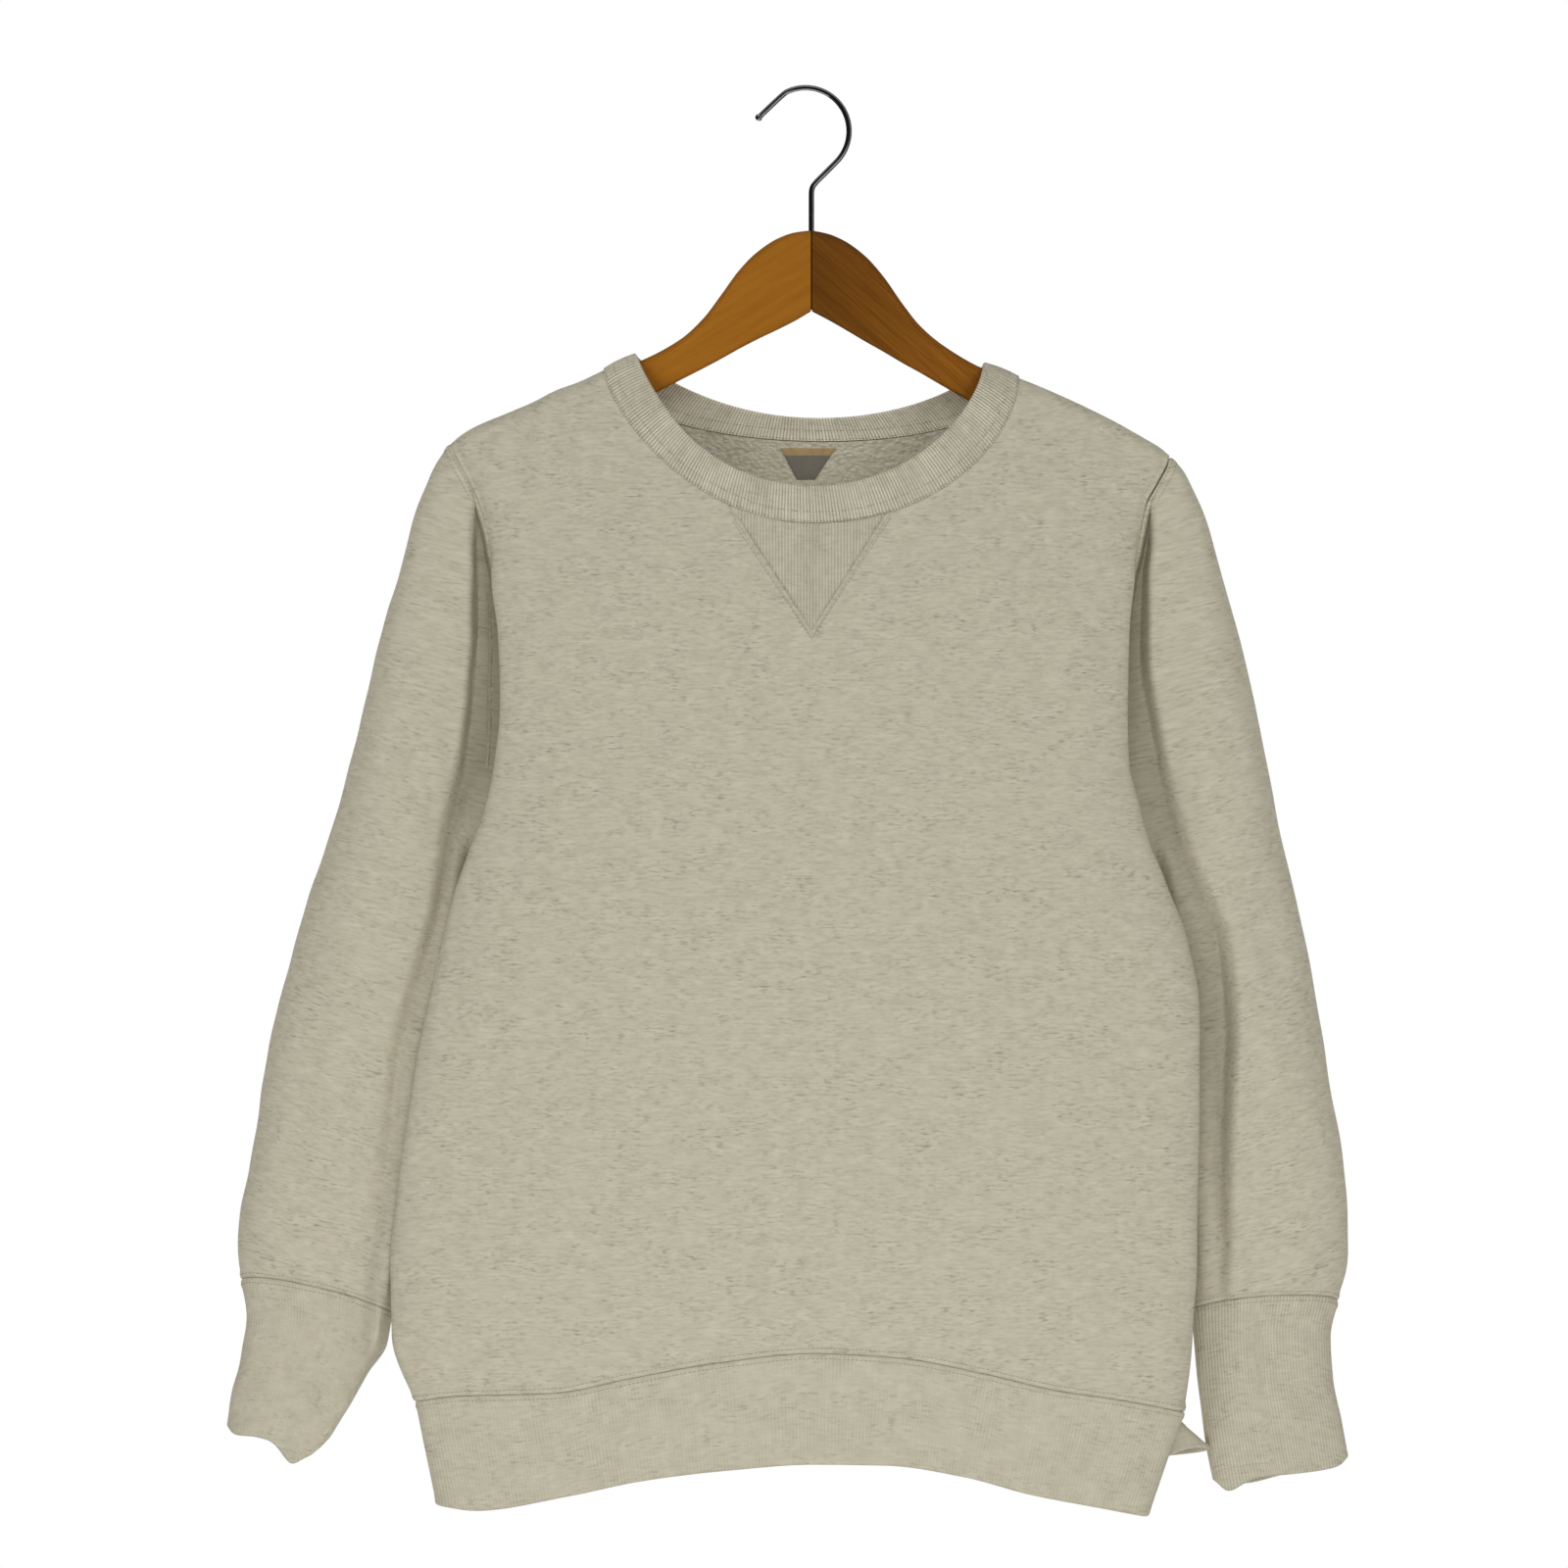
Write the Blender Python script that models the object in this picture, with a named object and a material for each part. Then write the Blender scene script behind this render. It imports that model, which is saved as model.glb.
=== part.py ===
"""Crew-neck sweatshirt of fleece-backed jersey, hanging on a mitred wooden hanger.

The frame is the hook's own: the origin is the inner top of the hook, where a rail bears, +Z is
up and the front of the garment faces -Y. The wearer's right side is at -X. Sizes are in
millimetres until a mesh is made, and a height is given as the distance below the origin.

Each cloth piece is a grid of points on the middle of its wall. Pieces that are sewn together
share the points and the normals of their seam. A piece is then given its thickness, and its
sewn borders are drawn back by half of the seam gap.
"""

import bisect
import math

import bmesh
import bpy
from mathutils import Vector

MM = 0.001

# Cloth
JERSEY = 2.0          # wall of the fleece-backed jersey
RIB = 2.6             # wall of the doubled rib of collar, cuffs and hem
GUSSET = 1.6          # wall of the single rib of the V gusset
LABEL = 0.8           # wall of the neck label
SEAM_GAP = 0.3        # clearance between two sewn pieces
PATCH_GAP = 0.5       # clearance between a panel and what is sewn on it

# Hanger
WOOD_HALF = 5.5       # half of the thickness of the wooden arms
WOOD_FOOT_RADIUS = 3.0
WOOD_TIP = 205.0      # half of the hanger's length
CREST_TO_WOOD = 2.0   # from the middle of the cloth wall down to the wood on the shoulder
WIRE_RADIUS = 1.7
BORE_RADIUS = 2.0
BORE_DEPTH = 22.0

# The grid of the body: columns are counted from the centre, rows from the top
NECK_COLUMN = 8
FOLD_COLUMN = 12
SEAM_COLUMN = 13
ARMPIT_ROW = 11
LAST_RING = 15
LAST_CUFF_ROW = 4
BAND_STEPS = 3        # rows across the collar and the hem band


class Table:
    """Rows of numbers under named columns, read smoothly in between on the first column."""

    def __init__(self, names, *rows):
        for index, name in enumerate(names.split()):
            setattr(self, name, [row[index] for row in rows])
        self.keys = [row[0] for row in rows]

    def at(self, key, name):
        """The value of one column, on a curve that never overshoots its rows."""
        keys, values = self.keys, getattr(self, name)
        if key <= keys[0]:
            return values[0]
        if key >= keys[-1]:
            return values[-1]
        row = bisect.bisect_right(keys, key) - 1
        step = keys[row + 1] - keys[row]
        t = (key - keys[row]) / step
        start, end = self._slope(values, row), self._slope(values, row + 1)
        return (values[row] * (1 + 2 * t) * (1 - t) ** 2 + values[row + 1] * t * t * (3 - 2 * t)
                + step * (start * t * (1 - t) ** 2 - end * t * t * (1 - t)))

    def _slope(self, values, row):
        """Harmonic mean of the slopes on both sides of a row, level at a peak."""
        keys = self.keys
        last = len(keys) - 1
        if row in (0, last):
            near = 1 if row == 0 else last
            return (values[near] - values[near - 1]) / (keys[near] - keys[near - 1])
        before = (values[row] - values[row - 1]) / (keys[row] - keys[row - 1])
        after = (values[row + 1] - values[row]) / (keys[row + 1] - keys[row])
        return 0.0 if before * after <= 0 else 2 * before * after / (before + after)


# The shoulder crest outside the neck points: distance out, and height on each side
CREST = Table("out right left",
              (127, 172.0, 176.8),
              (142, 179.0, 182.8),
              (156, 184.0, 188.9),
              (170, 191.2, 195.4),
              (184, 197.2, 202.4),
              (205, 206.0, 214.2),
              (213, 210.6, 219.0),
              (221, 217.0, 225.6))

# Front of the body by height: how far out the folded side edge is on each side, where the seam
# lies from that edge (in towards the centre, and back), and how deep edge, front and back are
BODY = Table("below right left seam_in seam_back edge_y front_y back_y",
             (217, 217.0, 215.0, -4.0, 0.0, -2.5, -26, 30),
             (226, 213.0, 214.5, -4.0, 0.0, -6.0, -27, 30),
             (241, 205.0, 207.5, -4.0, 1.0, -8.5, -29, 30),
             (253, 199.8, 201.5, -3.7, 2.0, -9.5, -31, 30),
             (278, 195.0, 198.0, -2.0, 5.0, -12.0, -35, 32),
             (300, 194.8, 197.0, 2.0, 9.0, -14.0, -38, 33),
             (330, 191.5, 194.5, 4.5, 12.0, -15.5, -41, 35),
             (380, 190.0, 193.0, 5.0, 14.0, -17.0, -44, 37),
             (410, 193.0, 193.5, 5.0, 15.0, -17.5, -45, 38),
             (440, 199.0, 200.0, 5.0, 15.0, -18.0, -46, 39),
             (455, 204.5, 204.0, 7.0, 17.0, -18.0, -46, 39),
             (466, 208.8, 208.2, 9.0, 23.5, -18.0, -46, 39),
             (478, 213.0, 213.5, 6.0, 15.5, -18.0, -46, 39),
             (492, 217.5, 218.8, 3.0, 9.5, -18.0, -47, 39),
             (520, 224.5, 229.5, 0.6, 5.0, -18.0, -47, 39),
             (560, 234.0, 236.5, 0.5, 4.0, -18.0, -47, 39),
             (614, 244.0, 237.0, 0.5, 4.0, -18.0, -46, 38),
             (671, 252.0, 235.6, 0.5, 4.0, -18.0, -45, 37),
             (724, 257.0, 235.0, 0.5, 4.0, -17.5, -44, 36),
             (762, 256.0, 232.5, 0.5, 4.0, -17.0, -43, 35),
             (803, 241.6, 227.5, 0.5, 4.0, -16.0, -42, 34))

# Back armhole seam by the distance down from the shoulder tip: how far out it is on each side,
# and how deep
BACK_HOLE = Table("down right left y",
                  (0, 221.0, 219.0, 0.0),
                  (2.5, 220.0, 218.2, 3.2),
                  (9, 217.5, 216.5, 6.0),
                  (24, 211.5, 212.5, 9.0),
                  (45, 204.0, 206.0, 11.5),
                  (83, 199.0, 201.0, 13.5),
                  (133, 197.5, 199.0, 14.5),
                  (183, 198.5, 200.0, 14.5),
                  (213, 200.0, 201.0, 14.0),
                  (230, 200.5, 201.5, 13.5),
                  (239, 200.0, 201.5, 13.0),
                  (246, 199.0, 200.5, 5.0))

# Share of the half breadth at which each column meets the shoulder seam, and at which it then
# runs down the front and the back
COLUMNS = Table("column top front back",
                (0, 0.0, 0.0, 0.0),
                (1, 0.125, 0.125, 0.125),
                (2, 0.25, 0.25, 0.25),
                (3, 0.36, 0.36, 0.36),
                (4, 0.45, 0.45, 0.45),
                (5, 0.515, 0.52, 0.52),
                (6, 0.56, 0.575, 0.575),
                (7, 0.58, 0.62, 0.62),
                (8, 0.588, 0.665, 0.665),
                (9, 0.72, 0.74, 0.74),
                (10, 0.825, 0.83, 0.82),
                (11, 0.92, 0.92, 0.90),
                (12, 1.0, 1.0, 0.97),
                (13, 1.0, 1.0, 1.0))

# Angle round the neck at which each column meets the neck seam
NECK_ANGLES = Table("column angle",
                    *enumerate((0, 14, 28, 42, 55, 67, 78, 87, 90)))

# Share of the drop from the top border to the hem seam at which each row of the body runs
ROWS = Table("row drop",
             *enumerate((0.0, 0.004, 0.016, 0.045, 0.085, 0.135, 0.19, 0.245, 0.30, 0.355, 0.405,
                         0.42, 0.46, 0.51, 0.57, 0.64, 0.71, 0.78, 0.855, 0.93, 1.0)))

# Hem band, by share of the half breadth: heights of its seam and of its free edge
HEM = Table("share seam edge back_seam back_edge",
            (-1.0, 803.0, 867.0, 803.0, 867.0),
            (-0.9, 800.0, 870.0, 801.0, 863.0),
            (-0.65, 798.0, 861.0, 797.0, 853.0),
            (-0.45, 789.0, 851.5, 791.0, 846.0),
            (-0.22, 779.0, 845.0, 785.0, 840.0),
            (0.0, 773.5, 841.5, 782.0, 837.0),
            (0.22, 776.0, 842.0, 785.0, 839.0),
            (0.45, 785.5, 849.0, 791.0, 844.0),
            (0.65, 796.0, 860.0, 798.0, 850.0),
            (0.85, 803.0, 868.0, 804.0, 838.0),
            (1.0, 809.5, 874.0, 809.5, 829.0))
HEM_EDGE_OUT = {"right": 229.0, "left": 206.0}
HEM_FLARE = 53.0      # how far the back of the band swings out past the front on the left
HEM_FLARE_COLUMN = 11.3
HEM_FLARE_SPREAD = 1.25
HEM_TUCK = 3.0        # how far the side seam tucks in behind the front there
HEM_RISE = {"right": 2.0, "left": 23.0}     # how far the free edge rises from fold to side seam

# Sleeves, by ring from the armhole to the cuff seam: where the outer and the inner fold of the
# sleeve run, how deep the oval between them is, and how far its middle is lifted at the cuff
SLEEVE_COLUMNS = "ring outer_out outer_below outer_y inner_out inner_below inner_y depth lift"
SLEEVES = {
    "right": Table(SLEEVE_COLUMNS,
                   (0, 221.0, 217, 0.0, 198.5, 463, 5.0, 9.0, 0),
                   (1, 228.0, 227, 0.5, 203.5, 465, 7.0, 13.0, 0),
                   (2, 236.0, 243, 1.0, 208.5, 470, 11.0, 16.0, 0),
                   (3, 243.5, 266, 2.0, 211.5, 478, 15.0, 19.0, 0),
                   (4, 251.0, 295, 3.0, 214.0, 489, 17.5, 22.0, 0),
                   (5, 260.0, 322, 4.0, 216.0, 505, 19.0, 24.0, 0),
                   (6, 268.5, 355, 5.5, 218.5, 525, 20.0, 26.0, 0),
                   (7, 277.0, 392, 7.0, 221.0, 547, 20.0, 27.0, 0),
                   (8, 287.0, 432, 8.5, 224.5, 571, 20.0, 27.5, 0),
                   (9, 300.0, 473, 10.0, 227.5, 598, 19.5, 27.5, 0),
                   (10, 313.0, 514, 11.0, 232.5, 624, 19.0, 27.0, 0),
                   (11, 326.0, 561, 12.0, 237.5, 650, 18.0, 25.5, 0),
                   (12, 335.0, 606, 12.5, 242.0, 675, 17.0, 24.0, 0),
                   (13, 341.0, 648, 13.0, 247.0, 700, 16.0, 22.0, 1),
                   (14, 350.6, 704, 13.0, 252.0, 725, 14.5, 18.5, 3),
                   (15, 348.0, 729, 13.0, 258.0, 750, 13.0, 13.0, 6)),
    "left": Table(SLEEVE_COLUMNS,
                  (0, 219.0, 225, 0.0, 201.0, 470, 5.0, 9.0, 0),
                  (1, 227.0, 233, 0.5, 206.0, 472, 7.0, 13.0, 0),
                  (2, 233.0, 245, 1.0, 210.5, 477, 11.0, 16.0, 0),
                  (3, 241.0, 264, 2.0, 213.0, 485, 15.0, 19.0, 0),
                  (4, 248.5, 289, 3.0, 215.0, 496, 17.5, 22.0, 0),
                  (5, 256.0, 318, 4.0, 218.0, 512, 19.0, 24.0, 0),
                  (6, 264.5, 349, 5.5, 221.0, 532, 20.0, 26.0, 0),
                  (7, 273.0, 388, 7.0, 224.0, 554, 20.0, 27.0, 0),
                  (8, 281.5, 430, 8.5, 226.5, 578, 20.0, 27.5, 0),
                  (9, 290.8, 475, 10.0, 227.5, 604, 19.5, 27.5, 0),
                  (10, 300.9, 520, 11.0, 228.0, 629, 19.0, 27.0, 0),
                  (11, 310.8, 572, 12.0, 228.5, 654, 18.0, 25.5, 0),
                  (12, 318.0, 615, 12.5, 229.5, 678, 17.0, 24.0, 0),
                  (13, 325.0, 660, 13.0, 231.0, 702, 16.0, 22.0, 1),
                  (14, 328.5, 711, 13.0, 232.5, 725, 14.5, 18.5, 3),
                  (15, 322.0, 742, 13.0, 234.0, 748, 13.0, 13.0, 6)),
}
EVEN_RING = 8         # ring from which the points stand evenly round the oval
ARMPIT_EASE = 3.2     # how far the sleeve starts from the corner where four seams meet
HOLE_FADE = 1.7       # rings over which the armhole's own shape dies out down the sleeve

# Cuffs, by row from the seam to the free edge, in the same terms
CUFFS = {
    "right": Table(SLEEVE_COLUMNS,
                   (0, 348.0, 729, 13.0, 258.0, 750, 13.0, 13.0, 6),
                   (1, 345.0, 753, 13.0, 261.0, 768, 13.0, 12.0, 5),
                   (2, 348.0, 777, 12.0, 272.0, 784, 12.0, 12.0, 3),
                   (3, 354.0, 801, 11.0, 281.5, 801, 11.0, 12.0, 1),
                   (4, 357.5, 824.5, 10.0, 296.5, 824, 10.0, 12.5, 0)),
    "left": Table(SLEEVE_COLUMNS,
                  (0, 322.0, 742, 13.0, 234.0, 748, 13.0, 13.0, 6),
                  (1, 317.0, 764, 13.0, 236.0, 772, 13.0, 12.0, 5),
                  (2, 318.5, 790, 12.0, 238.0, 797, 12.0, 12.0, 3),
                  (3, 324.0, 817, 11.0, 241.5, 824, 11.0, 12.0, 1),
                  (4, 328.0, 843, 10.0, 247.5, 852, 10.0, 12.5, 0)),
}
# The lobes of the cuffs' wavy free edges: place round the cuff, spread and drop
LOBES = {
    "right": Table("angle spread drop", (0, 22, -5.5), (104, 13, 6.6), (122, 35, 13.2),
                   (250, 34, 8), (360, 22, -5.5)),
    "left": Table("angle spread drop", (0, 22, -5), (75, 40, 1.2), (141, 20, 7.1),
                  (240, 30, 4), (360, 22, -5)),
}

# The wooden arms, by distance out from the mitre: heights of the upper and the lower edge
ARMS = Table("out right_top right_foot left_top left_foot",
             (0.0, 85.7, 135.3, 85.7, 135.3),
             (10, 87.0, 141.2, 87.8, 140.5),
             (20, 90.4, 146.3, 92.0, 146.2),
             (33, 98.8, 152.5, 101.5, 153.9),
             (44, 109.8, 158.2, 113.8, 160.1),
             (56, 126.2, 164.9, 130.9, 167.2),
             (66, 139.4, 170.2, 143.6, 172.7),
             (80, 152.3, 177.4, 155.7, 180.9),
             (104, 165.4, 190.0, 169.9, 194.5),
             (127, 174.0, 201.0, 178.8, 206.0),
             (205, 208.0, 224.0, 216.2, 233.0))
ARM_STATIONS = 26

# The V gusset under the collar, and the label inside the back neck
GUSSET_HALF_TOP = 45.5
GUSSET_TIP_BELOW = 330.5
GUSSET_TIP_WIDTH = 1.6
GUSSET_ROWS = 8
GUSSET_COLUMNS = 4
LABEL_TOP = (-19.0, 15.0, 219.0)      # first and last X, and height
LABEL_FOOT = (-9.0, 2.0, 238.5)

# The hook: a round arc from the free end over the top, a slanting run and the stem
HOOK_CENTRE = (-3.6, 25.0)
HOOK_RADIUS = 26.7
HOOK_ARC = (120.0, -45.0)
HOOK_FREE = Table("step x below radius",
                  (0, -33.6, 18.1, 0.5),
                  (1, -33.2, 17.6, 1.7),
                  (2, -32.2, 16.6, 2.3),
                  (3, -30.9, 15.3, 1.7),
                  (4, -24.0, 8.7, 1.7))
HOOK_STEM = Table("step x below",
                  (0, 8.0, 51.2),
                  (1, 2.6, 56.6),
                  (2, 0.7, 59.4),
                  (3, 0.0, 63.0),
                  (4, 0.0, 75.0),
                  (5, 0.0, 86.0),
                  (6, 0.0, 106.0))


# --- the curves of the neck -----------------------------------------------------------------

class NeckCurve:
    """One curve round half of the neck, from the right neck point to the left one."""

    def __init__(self, centre, half, base, depth, powers, sway=0.0):
        self.centre, self.half, self.base = centre, half, base
        self.depth, self.powers, self.sway = depth, powers, sway

    def at(self, angle):
        """X and height at an angle from -90 at the right neck point to 90 at the left one."""
        turn = math.radians(angle)
        across = math.sin(turn)
        fall = max(0.0, math.cos(turn)) ** self.powers[0 if angle < 0 else 1]
        base = self.base[0] + (self.base[1] - self.base[0]) * (across + 1) / 2
        sway = self.sway * math.sin(4 * turn) if angle < 0 else 0.0
        return self.centre + self.half * across + sway, base + self.depth * fall


NECK_POINTS = (172.0, 176.8)
NECK_PEAKS = (162.4, 168.0)
FRONT_NECK = NeckCurve(0.0, 127.0, NECK_POINTS, 90.9, (1.45, 1.15))
BACK_NECK = NeckCurve(0.0, 127.0, NECK_POINTS, 40.6, (1.0, 1.0))
FRONT_COLLAR = NeckCurve(-1.0, 106.0, NECK_PEAKS, 77.0, (1.4, 1.3), sway=2.0)
BACK_COLLAR = NeckCurve(-1.0, 106.0, NECK_PEAKS, 35.3, (1.7, 1.5))
FRONT_COLLAR_Y, FRONT_COLLAR_ROUND = -31.0, 0.65
BACK_COLLAR_Y, BACK_COLLAR_ROUND = 24.0, 0.45
COLLAR_CROWN = 1.0


# --- the body -------------------------------------------------------------------------------

DRAPE_RADIUS = 7.5    # how far the cloth stands off the hanger's middle plane at the crest
SECTION_POWER = 2.4
SECTION_ROUND = 1.8
BLEND_POWER = 6
TOP_FADE = 0.035      # share of the drop over which the columns leave the neck's spacing


def side_of(x):
    """The wearer's side that a place at X belongs to."""
    return "right" if x < 0 else "left"


def point(x, y, below):
    """A point from its X, Y and its distance below the origin."""
    return Vector((x, y, -below))


def crest(x):
    """Height of the shoulder line at X, straight between the neck points."""
    out = CREST.keys[0]
    if abs(x) < out:
        return NECK_POINTS[0] + (NECK_POINTS[1] - NECK_POINTS[0]) * (x + out) / (2 * out)
    return CREST.at(abs(x), side_of(x))


def lesser(a, b):
    """The smaller of two lengths, with a soft turn from one to the other."""
    if a <= 0 or b <= 0:
        return 0.0
    low, high = min(a, b), max(a, b)
    return low * (1 + (low / high) ** BLEND_POWER) ** (-1 / BLEND_POWER)


def drape(x, below, neck_slope, tip_slope):
    """How far cloth that hangs over the shoulder line stands off the hanger's plane."""
    drop = max(0.0, below - crest(x))
    over = 1 - min(drop, DRAPE_RADIUS) / DRAPE_RADIUS
    share = min(1.0, max(0.0, (abs(x) - 60) / 160))
    slope = neck_slope + (tip_slope - neck_slope) * share
    return DRAPE_RADIUS * math.sqrt(1 - over * over) + slope * drop


def bulge(x, out):
    """Share of the full depth at X, in a section that is flat in the middle and turns at the sides."""
    share = min(1.0, abs(x) / out)
    return (1 - share ** SECTION_POWER) ** (1 / SECTION_ROUND)


def top_border(column, face):
    """X and height of the top border: the neck seam, and outside it the shoulder seam."""
    count = abs(column)
    side = "right" if column < 0 else "left"
    if count <= NECK_COLUMN:
        angle = math.copysign(NECK_ANGLES.at(count, "angle"), column)
        return (FRONT_NECK if face == "front" else BACK_NECK).at(angle)
    out = BODY.at(0, side) * COLUMNS.at(min(count, FOLD_COLUMN), "top")
    if count > FOLD_COLUMN:
        out -= BODY.at(0, "seam_in") * (count - FOLD_COLUMN)
    x = math.copysign(out, column)
    return x, crest(x)


def column_x(column, drop, top_x, out, face):
    """X of a column at a share of the drop, easing from the neck's spacing to the body's."""
    share = COLUMNS.at(abs(column), face)
    fade = math.exp(-drop / TOP_FADE) * (1 - share ** 6)
    return math.copysign(out * share, column) * (1 - fade) + top_x * fade


def front_y(x, below):
    """Y of the middle of the front wall."""
    out = BODY.at(below, side_of(x))
    edge = BODY.at(below, "edge_y")
    section = -(edge + (BODY.at(below, "front_y") - edge) * bulge(x, out))
    return -lesser(drape(x, below, 0.34, 0.2), section)


def front(column, drop):
    """A point of the front, by column from -12 to 12 and by share of the drop to the hem."""
    top_x, top_below = top_border(column, "front")
    if drop == 0:
        return point(top_x, front_y(top_x, top_below), top_below)
    side = "right" if column < 0 else "left"
    share = COLUMNS.at(min(abs(column), FOLD_COLUMN), "front")
    hem = HEM.at(math.copysign(share, column), "seam")
    below = top_below + drop * (hem - top_below)
    out = BODY.at(below, side)
    if abs(column) <= FOLD_COLUMN:
        x = column_x(column, drop, top_x, out, "front")
        return point(x, front_y(x, below), below)
    turn = abs(column) - FOLD_COLUMN
    edge = math.copysign(out, column)
    x = math.copysign(out - BODY.at(below, "seam_in") * turn, column)
    return point(x, front_y(edge, below) + BODY.at(below, "seam_back") * turn, below)


def back_border(side, drop):
    """A point of the back's side border: the armhole seam, then the side seam of the front."""
    sign = -1 if side == "right" else 1
    armpit = ROWS.drop[ARMPIT_ROW]
    seam = front(sign * SEAM_COLUMN, drop)
    if drop >= armpit:
        return seam
    meet = front(sign * SEAM_COLUMN, armpit)
    tip = top_border(sign * SEAM_COLUMN, "back")[1]
    hole, last = [point(sign * BACK_HOLE.at(-place.z - tip, side),
                        BACK_HOLE.at(-place.z - tip, "y"), -place.z) for place in (seam, meet)]
    return hole + (meet - last) * (drop / armpit) ** 6


def back_y(x, below, out, edge):
    """Y of the middle of the back wall, between side borders at a given place."""
    section = edge + (BODY.at(below, "back_y") - edge) * bulge(x, out)
    low = min(0.0, edge)
    return low + lesser(drape(x, below, 0.45, 0.2) - low, section - low)


def back(column, drop):
    """A point of the back, in the same terms as the front."""
    side = "right" if column < 0 else "left"
    border = back_border(side, drop)
    if abs(column) == SEAM_COLUMN:
        return border
    top_x, top_below = top_border(column, "back")
    if drop == 0:
        y = back_y(top_x, top_below, abs(border.x), border.y)
        return point(top_x, y, top_below)
    share = COLUMNS.at(abs(column), "back")
    hem = HEM.at(math.copysign(share, column), "back_seam")
    below = top_below + drop * (hem - top_below)
    x = column_x(column, drop, top_x, abs(border.x), "back")
    return point(x, back_y(x, below, abs(border.x), border.y), below)


def hem(column, face, across):
    """A point of the hem band, across it from 0 at the seam to 1 at the free edge."""
    seam = front(column, 1.0) if face == "front" else back(column, 1.0)
    side = "right" if column < 0 else "left"
    share = COLUMNS.at(min(abs(column), FOLD_COLUMN), "front") if face == "front" \
        else COLUMNS.at(abs(column), "back")
    place = math.copysign(share, column)
    below = HEM.at(place, "edge" if face == "front" else "back_edge")
    if abs(column) == SEAM_COLUMN:
        below = HEM.at(place, "edge") - HEM_RISE[side]
    out = HEM_EDGE_OUT[side] * share
    y = seam.y * 0.94
    if side == "left":
        if abs(column) == SEAM_COLUMN:
            out -= HEM_TUCK
            y += 5.0
        elif face == "back":
            away = (abs(column) - HEM_FLARE_COLUMN) / HEM_FLARE_SPREAD
            out += HEM_FLARE * math.exp(-away * away)
    edge = point(math.copysign(out, column) if column else 0.0, y, below)
    return seam.lerp(edge, across)


def collar(column, face, across):
    """A point of the neck rib, across it from 0 at the seam to 1 at the free edge."""
    seam = (front if face == "front" else back)(column, 0.0)
    angle = math.copysign(NECK_ANGLES.at(abs(column), "angle"), column)
    turn = math.radians(angle)
    level = max(0.0, math.cos(turn))
    if face == "front":
        x, below = FRONT_COLLAR.at(angle)
        y = FRONT_COLLAR_Y * level ** FRONT_COLLAR_ROUND
    else:
        x, below = BACK_COLLAR.at(angle)
        y = BACK_COLLAR_Y * level ** BACK_COLLAR_ROUND
    crown = Vector((math.sin(turn) * 0.3, level * (-1 if face == "front" else 1),
                    abs(math.sin(turn)) * 0.8))
    return seam.lerp(point(x, y, below), across) + crown * COLLAR_CROWN * 4 * across * (1 - across)


# --- the sleeves and the cuffs --------------------------------------------------------------

RING_POINTS = 2 * ARMPIT_ROW


def armhole(side, step):
    """A point of the armhole seam: 0 at the shoulder tip, 11 at the armpit, then up the back."""
    sign = -1 if side == "right" else 1
    if step <= ARMPIT_ROW:
        return front(sign * SEAM_COLUMN, ROWS.at(step, "drop"))
    return back_border(side, ROWS.at(RING_POINTS - step, "drop"))


def oval_turn(step, ring):
    """Angle of a point round a sleeve: like the armhole's points at first, even further down."""
    half = step if step <= ARMPIT_ROW else RING_POINTS - step
    share = 1 - 2 * ROWS.at(half, "drop") / ROWS.drop[ARMPIT_ROW]
    start = math.acos(max(-1.0, min(1.0, share)))
    even = math.pi * half / ARMPIT_ROW
    ease = min(1.0, ring / EVEN_RING)
    turn = start + (even - start) * ease * ease * (3 - 2 * ease)
    return turn if step <= ARMPIT_ROW else 2 * math.pi - turn


def oval(table, sign, ring, turn, outer=None, inner=None):
    """A point of the oval between the outer and the inner fold of a sleeve or a cuff."""
    outer = outer or point(sign * table.at(ring, "outer_out"), table.at(ring, "outer_y"),
                           table.at(ring, "outer_below"))
    inner = inner or point(sign * table.at(ring, "inner_out"), table.at(ring, "inner_y"),
                           table.at(ring, "inner_below"))
    place = inner.lerp(outer, (1 + math.cos(turn)) / 2)
    deep = math.sin(turn)
    lift = table.at(ring, "lift") * abs(deep) * (1.0 if deep > 0 else 0.5)
    return place + Vector((0, -table.at(ring, "depth") * deep, lift))


def sleeve(side, ring, step):
    """A point of a sleeve: ring 0 is the armhole seam and the last ring the cuff seam."""
    sign = -1 if side == "right" else 1
    hole = armhole(side, step)
    if ring == 0 and step == ARMPIT_ROW:
        return hole + (sleeve(side, 1, step) - hole).normalized() * ARMPIT_EASE
    if ring == 0:
        return hole
    tip, armpit = armhole(side, 0), armhole(side, ARMPIT_ROW)
    first = oval(SLEEVES[side], sign, 0, oval_turn(step, 0), tip, armpit)
    fade = math.exp(-(ring / HOLE_FADE) ** 2)
    return oval(SLEEVES[side], sign, ring, oval_turn(step, ring)) + (hole - first) * fade


def cuff(side, row, step):
    """A point of a cuff: row 0 is its seam and the last row its wavy free edge."""
    if row == 0:
        return sleeve(side, LAST_RING, step)
    sign = -1 if side == "right" else 1
    turn = math.pi * step / ARMPIT_ROW
    place = oval(CUFFS[side], sign, row, turn)
    lobes = LOBES[side]
    for angle, spread, drop in zip(lobes.angle, lobes.spread, lobes.drop):
        away = (math.degrees(turn) - angle) / spread
        place.z -= drop * math.exp(-away * away) * (row / LAST_CUFF_ROW) ** 3
    return place


# --- walls ----------------------------------------------------------------------------------

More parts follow.
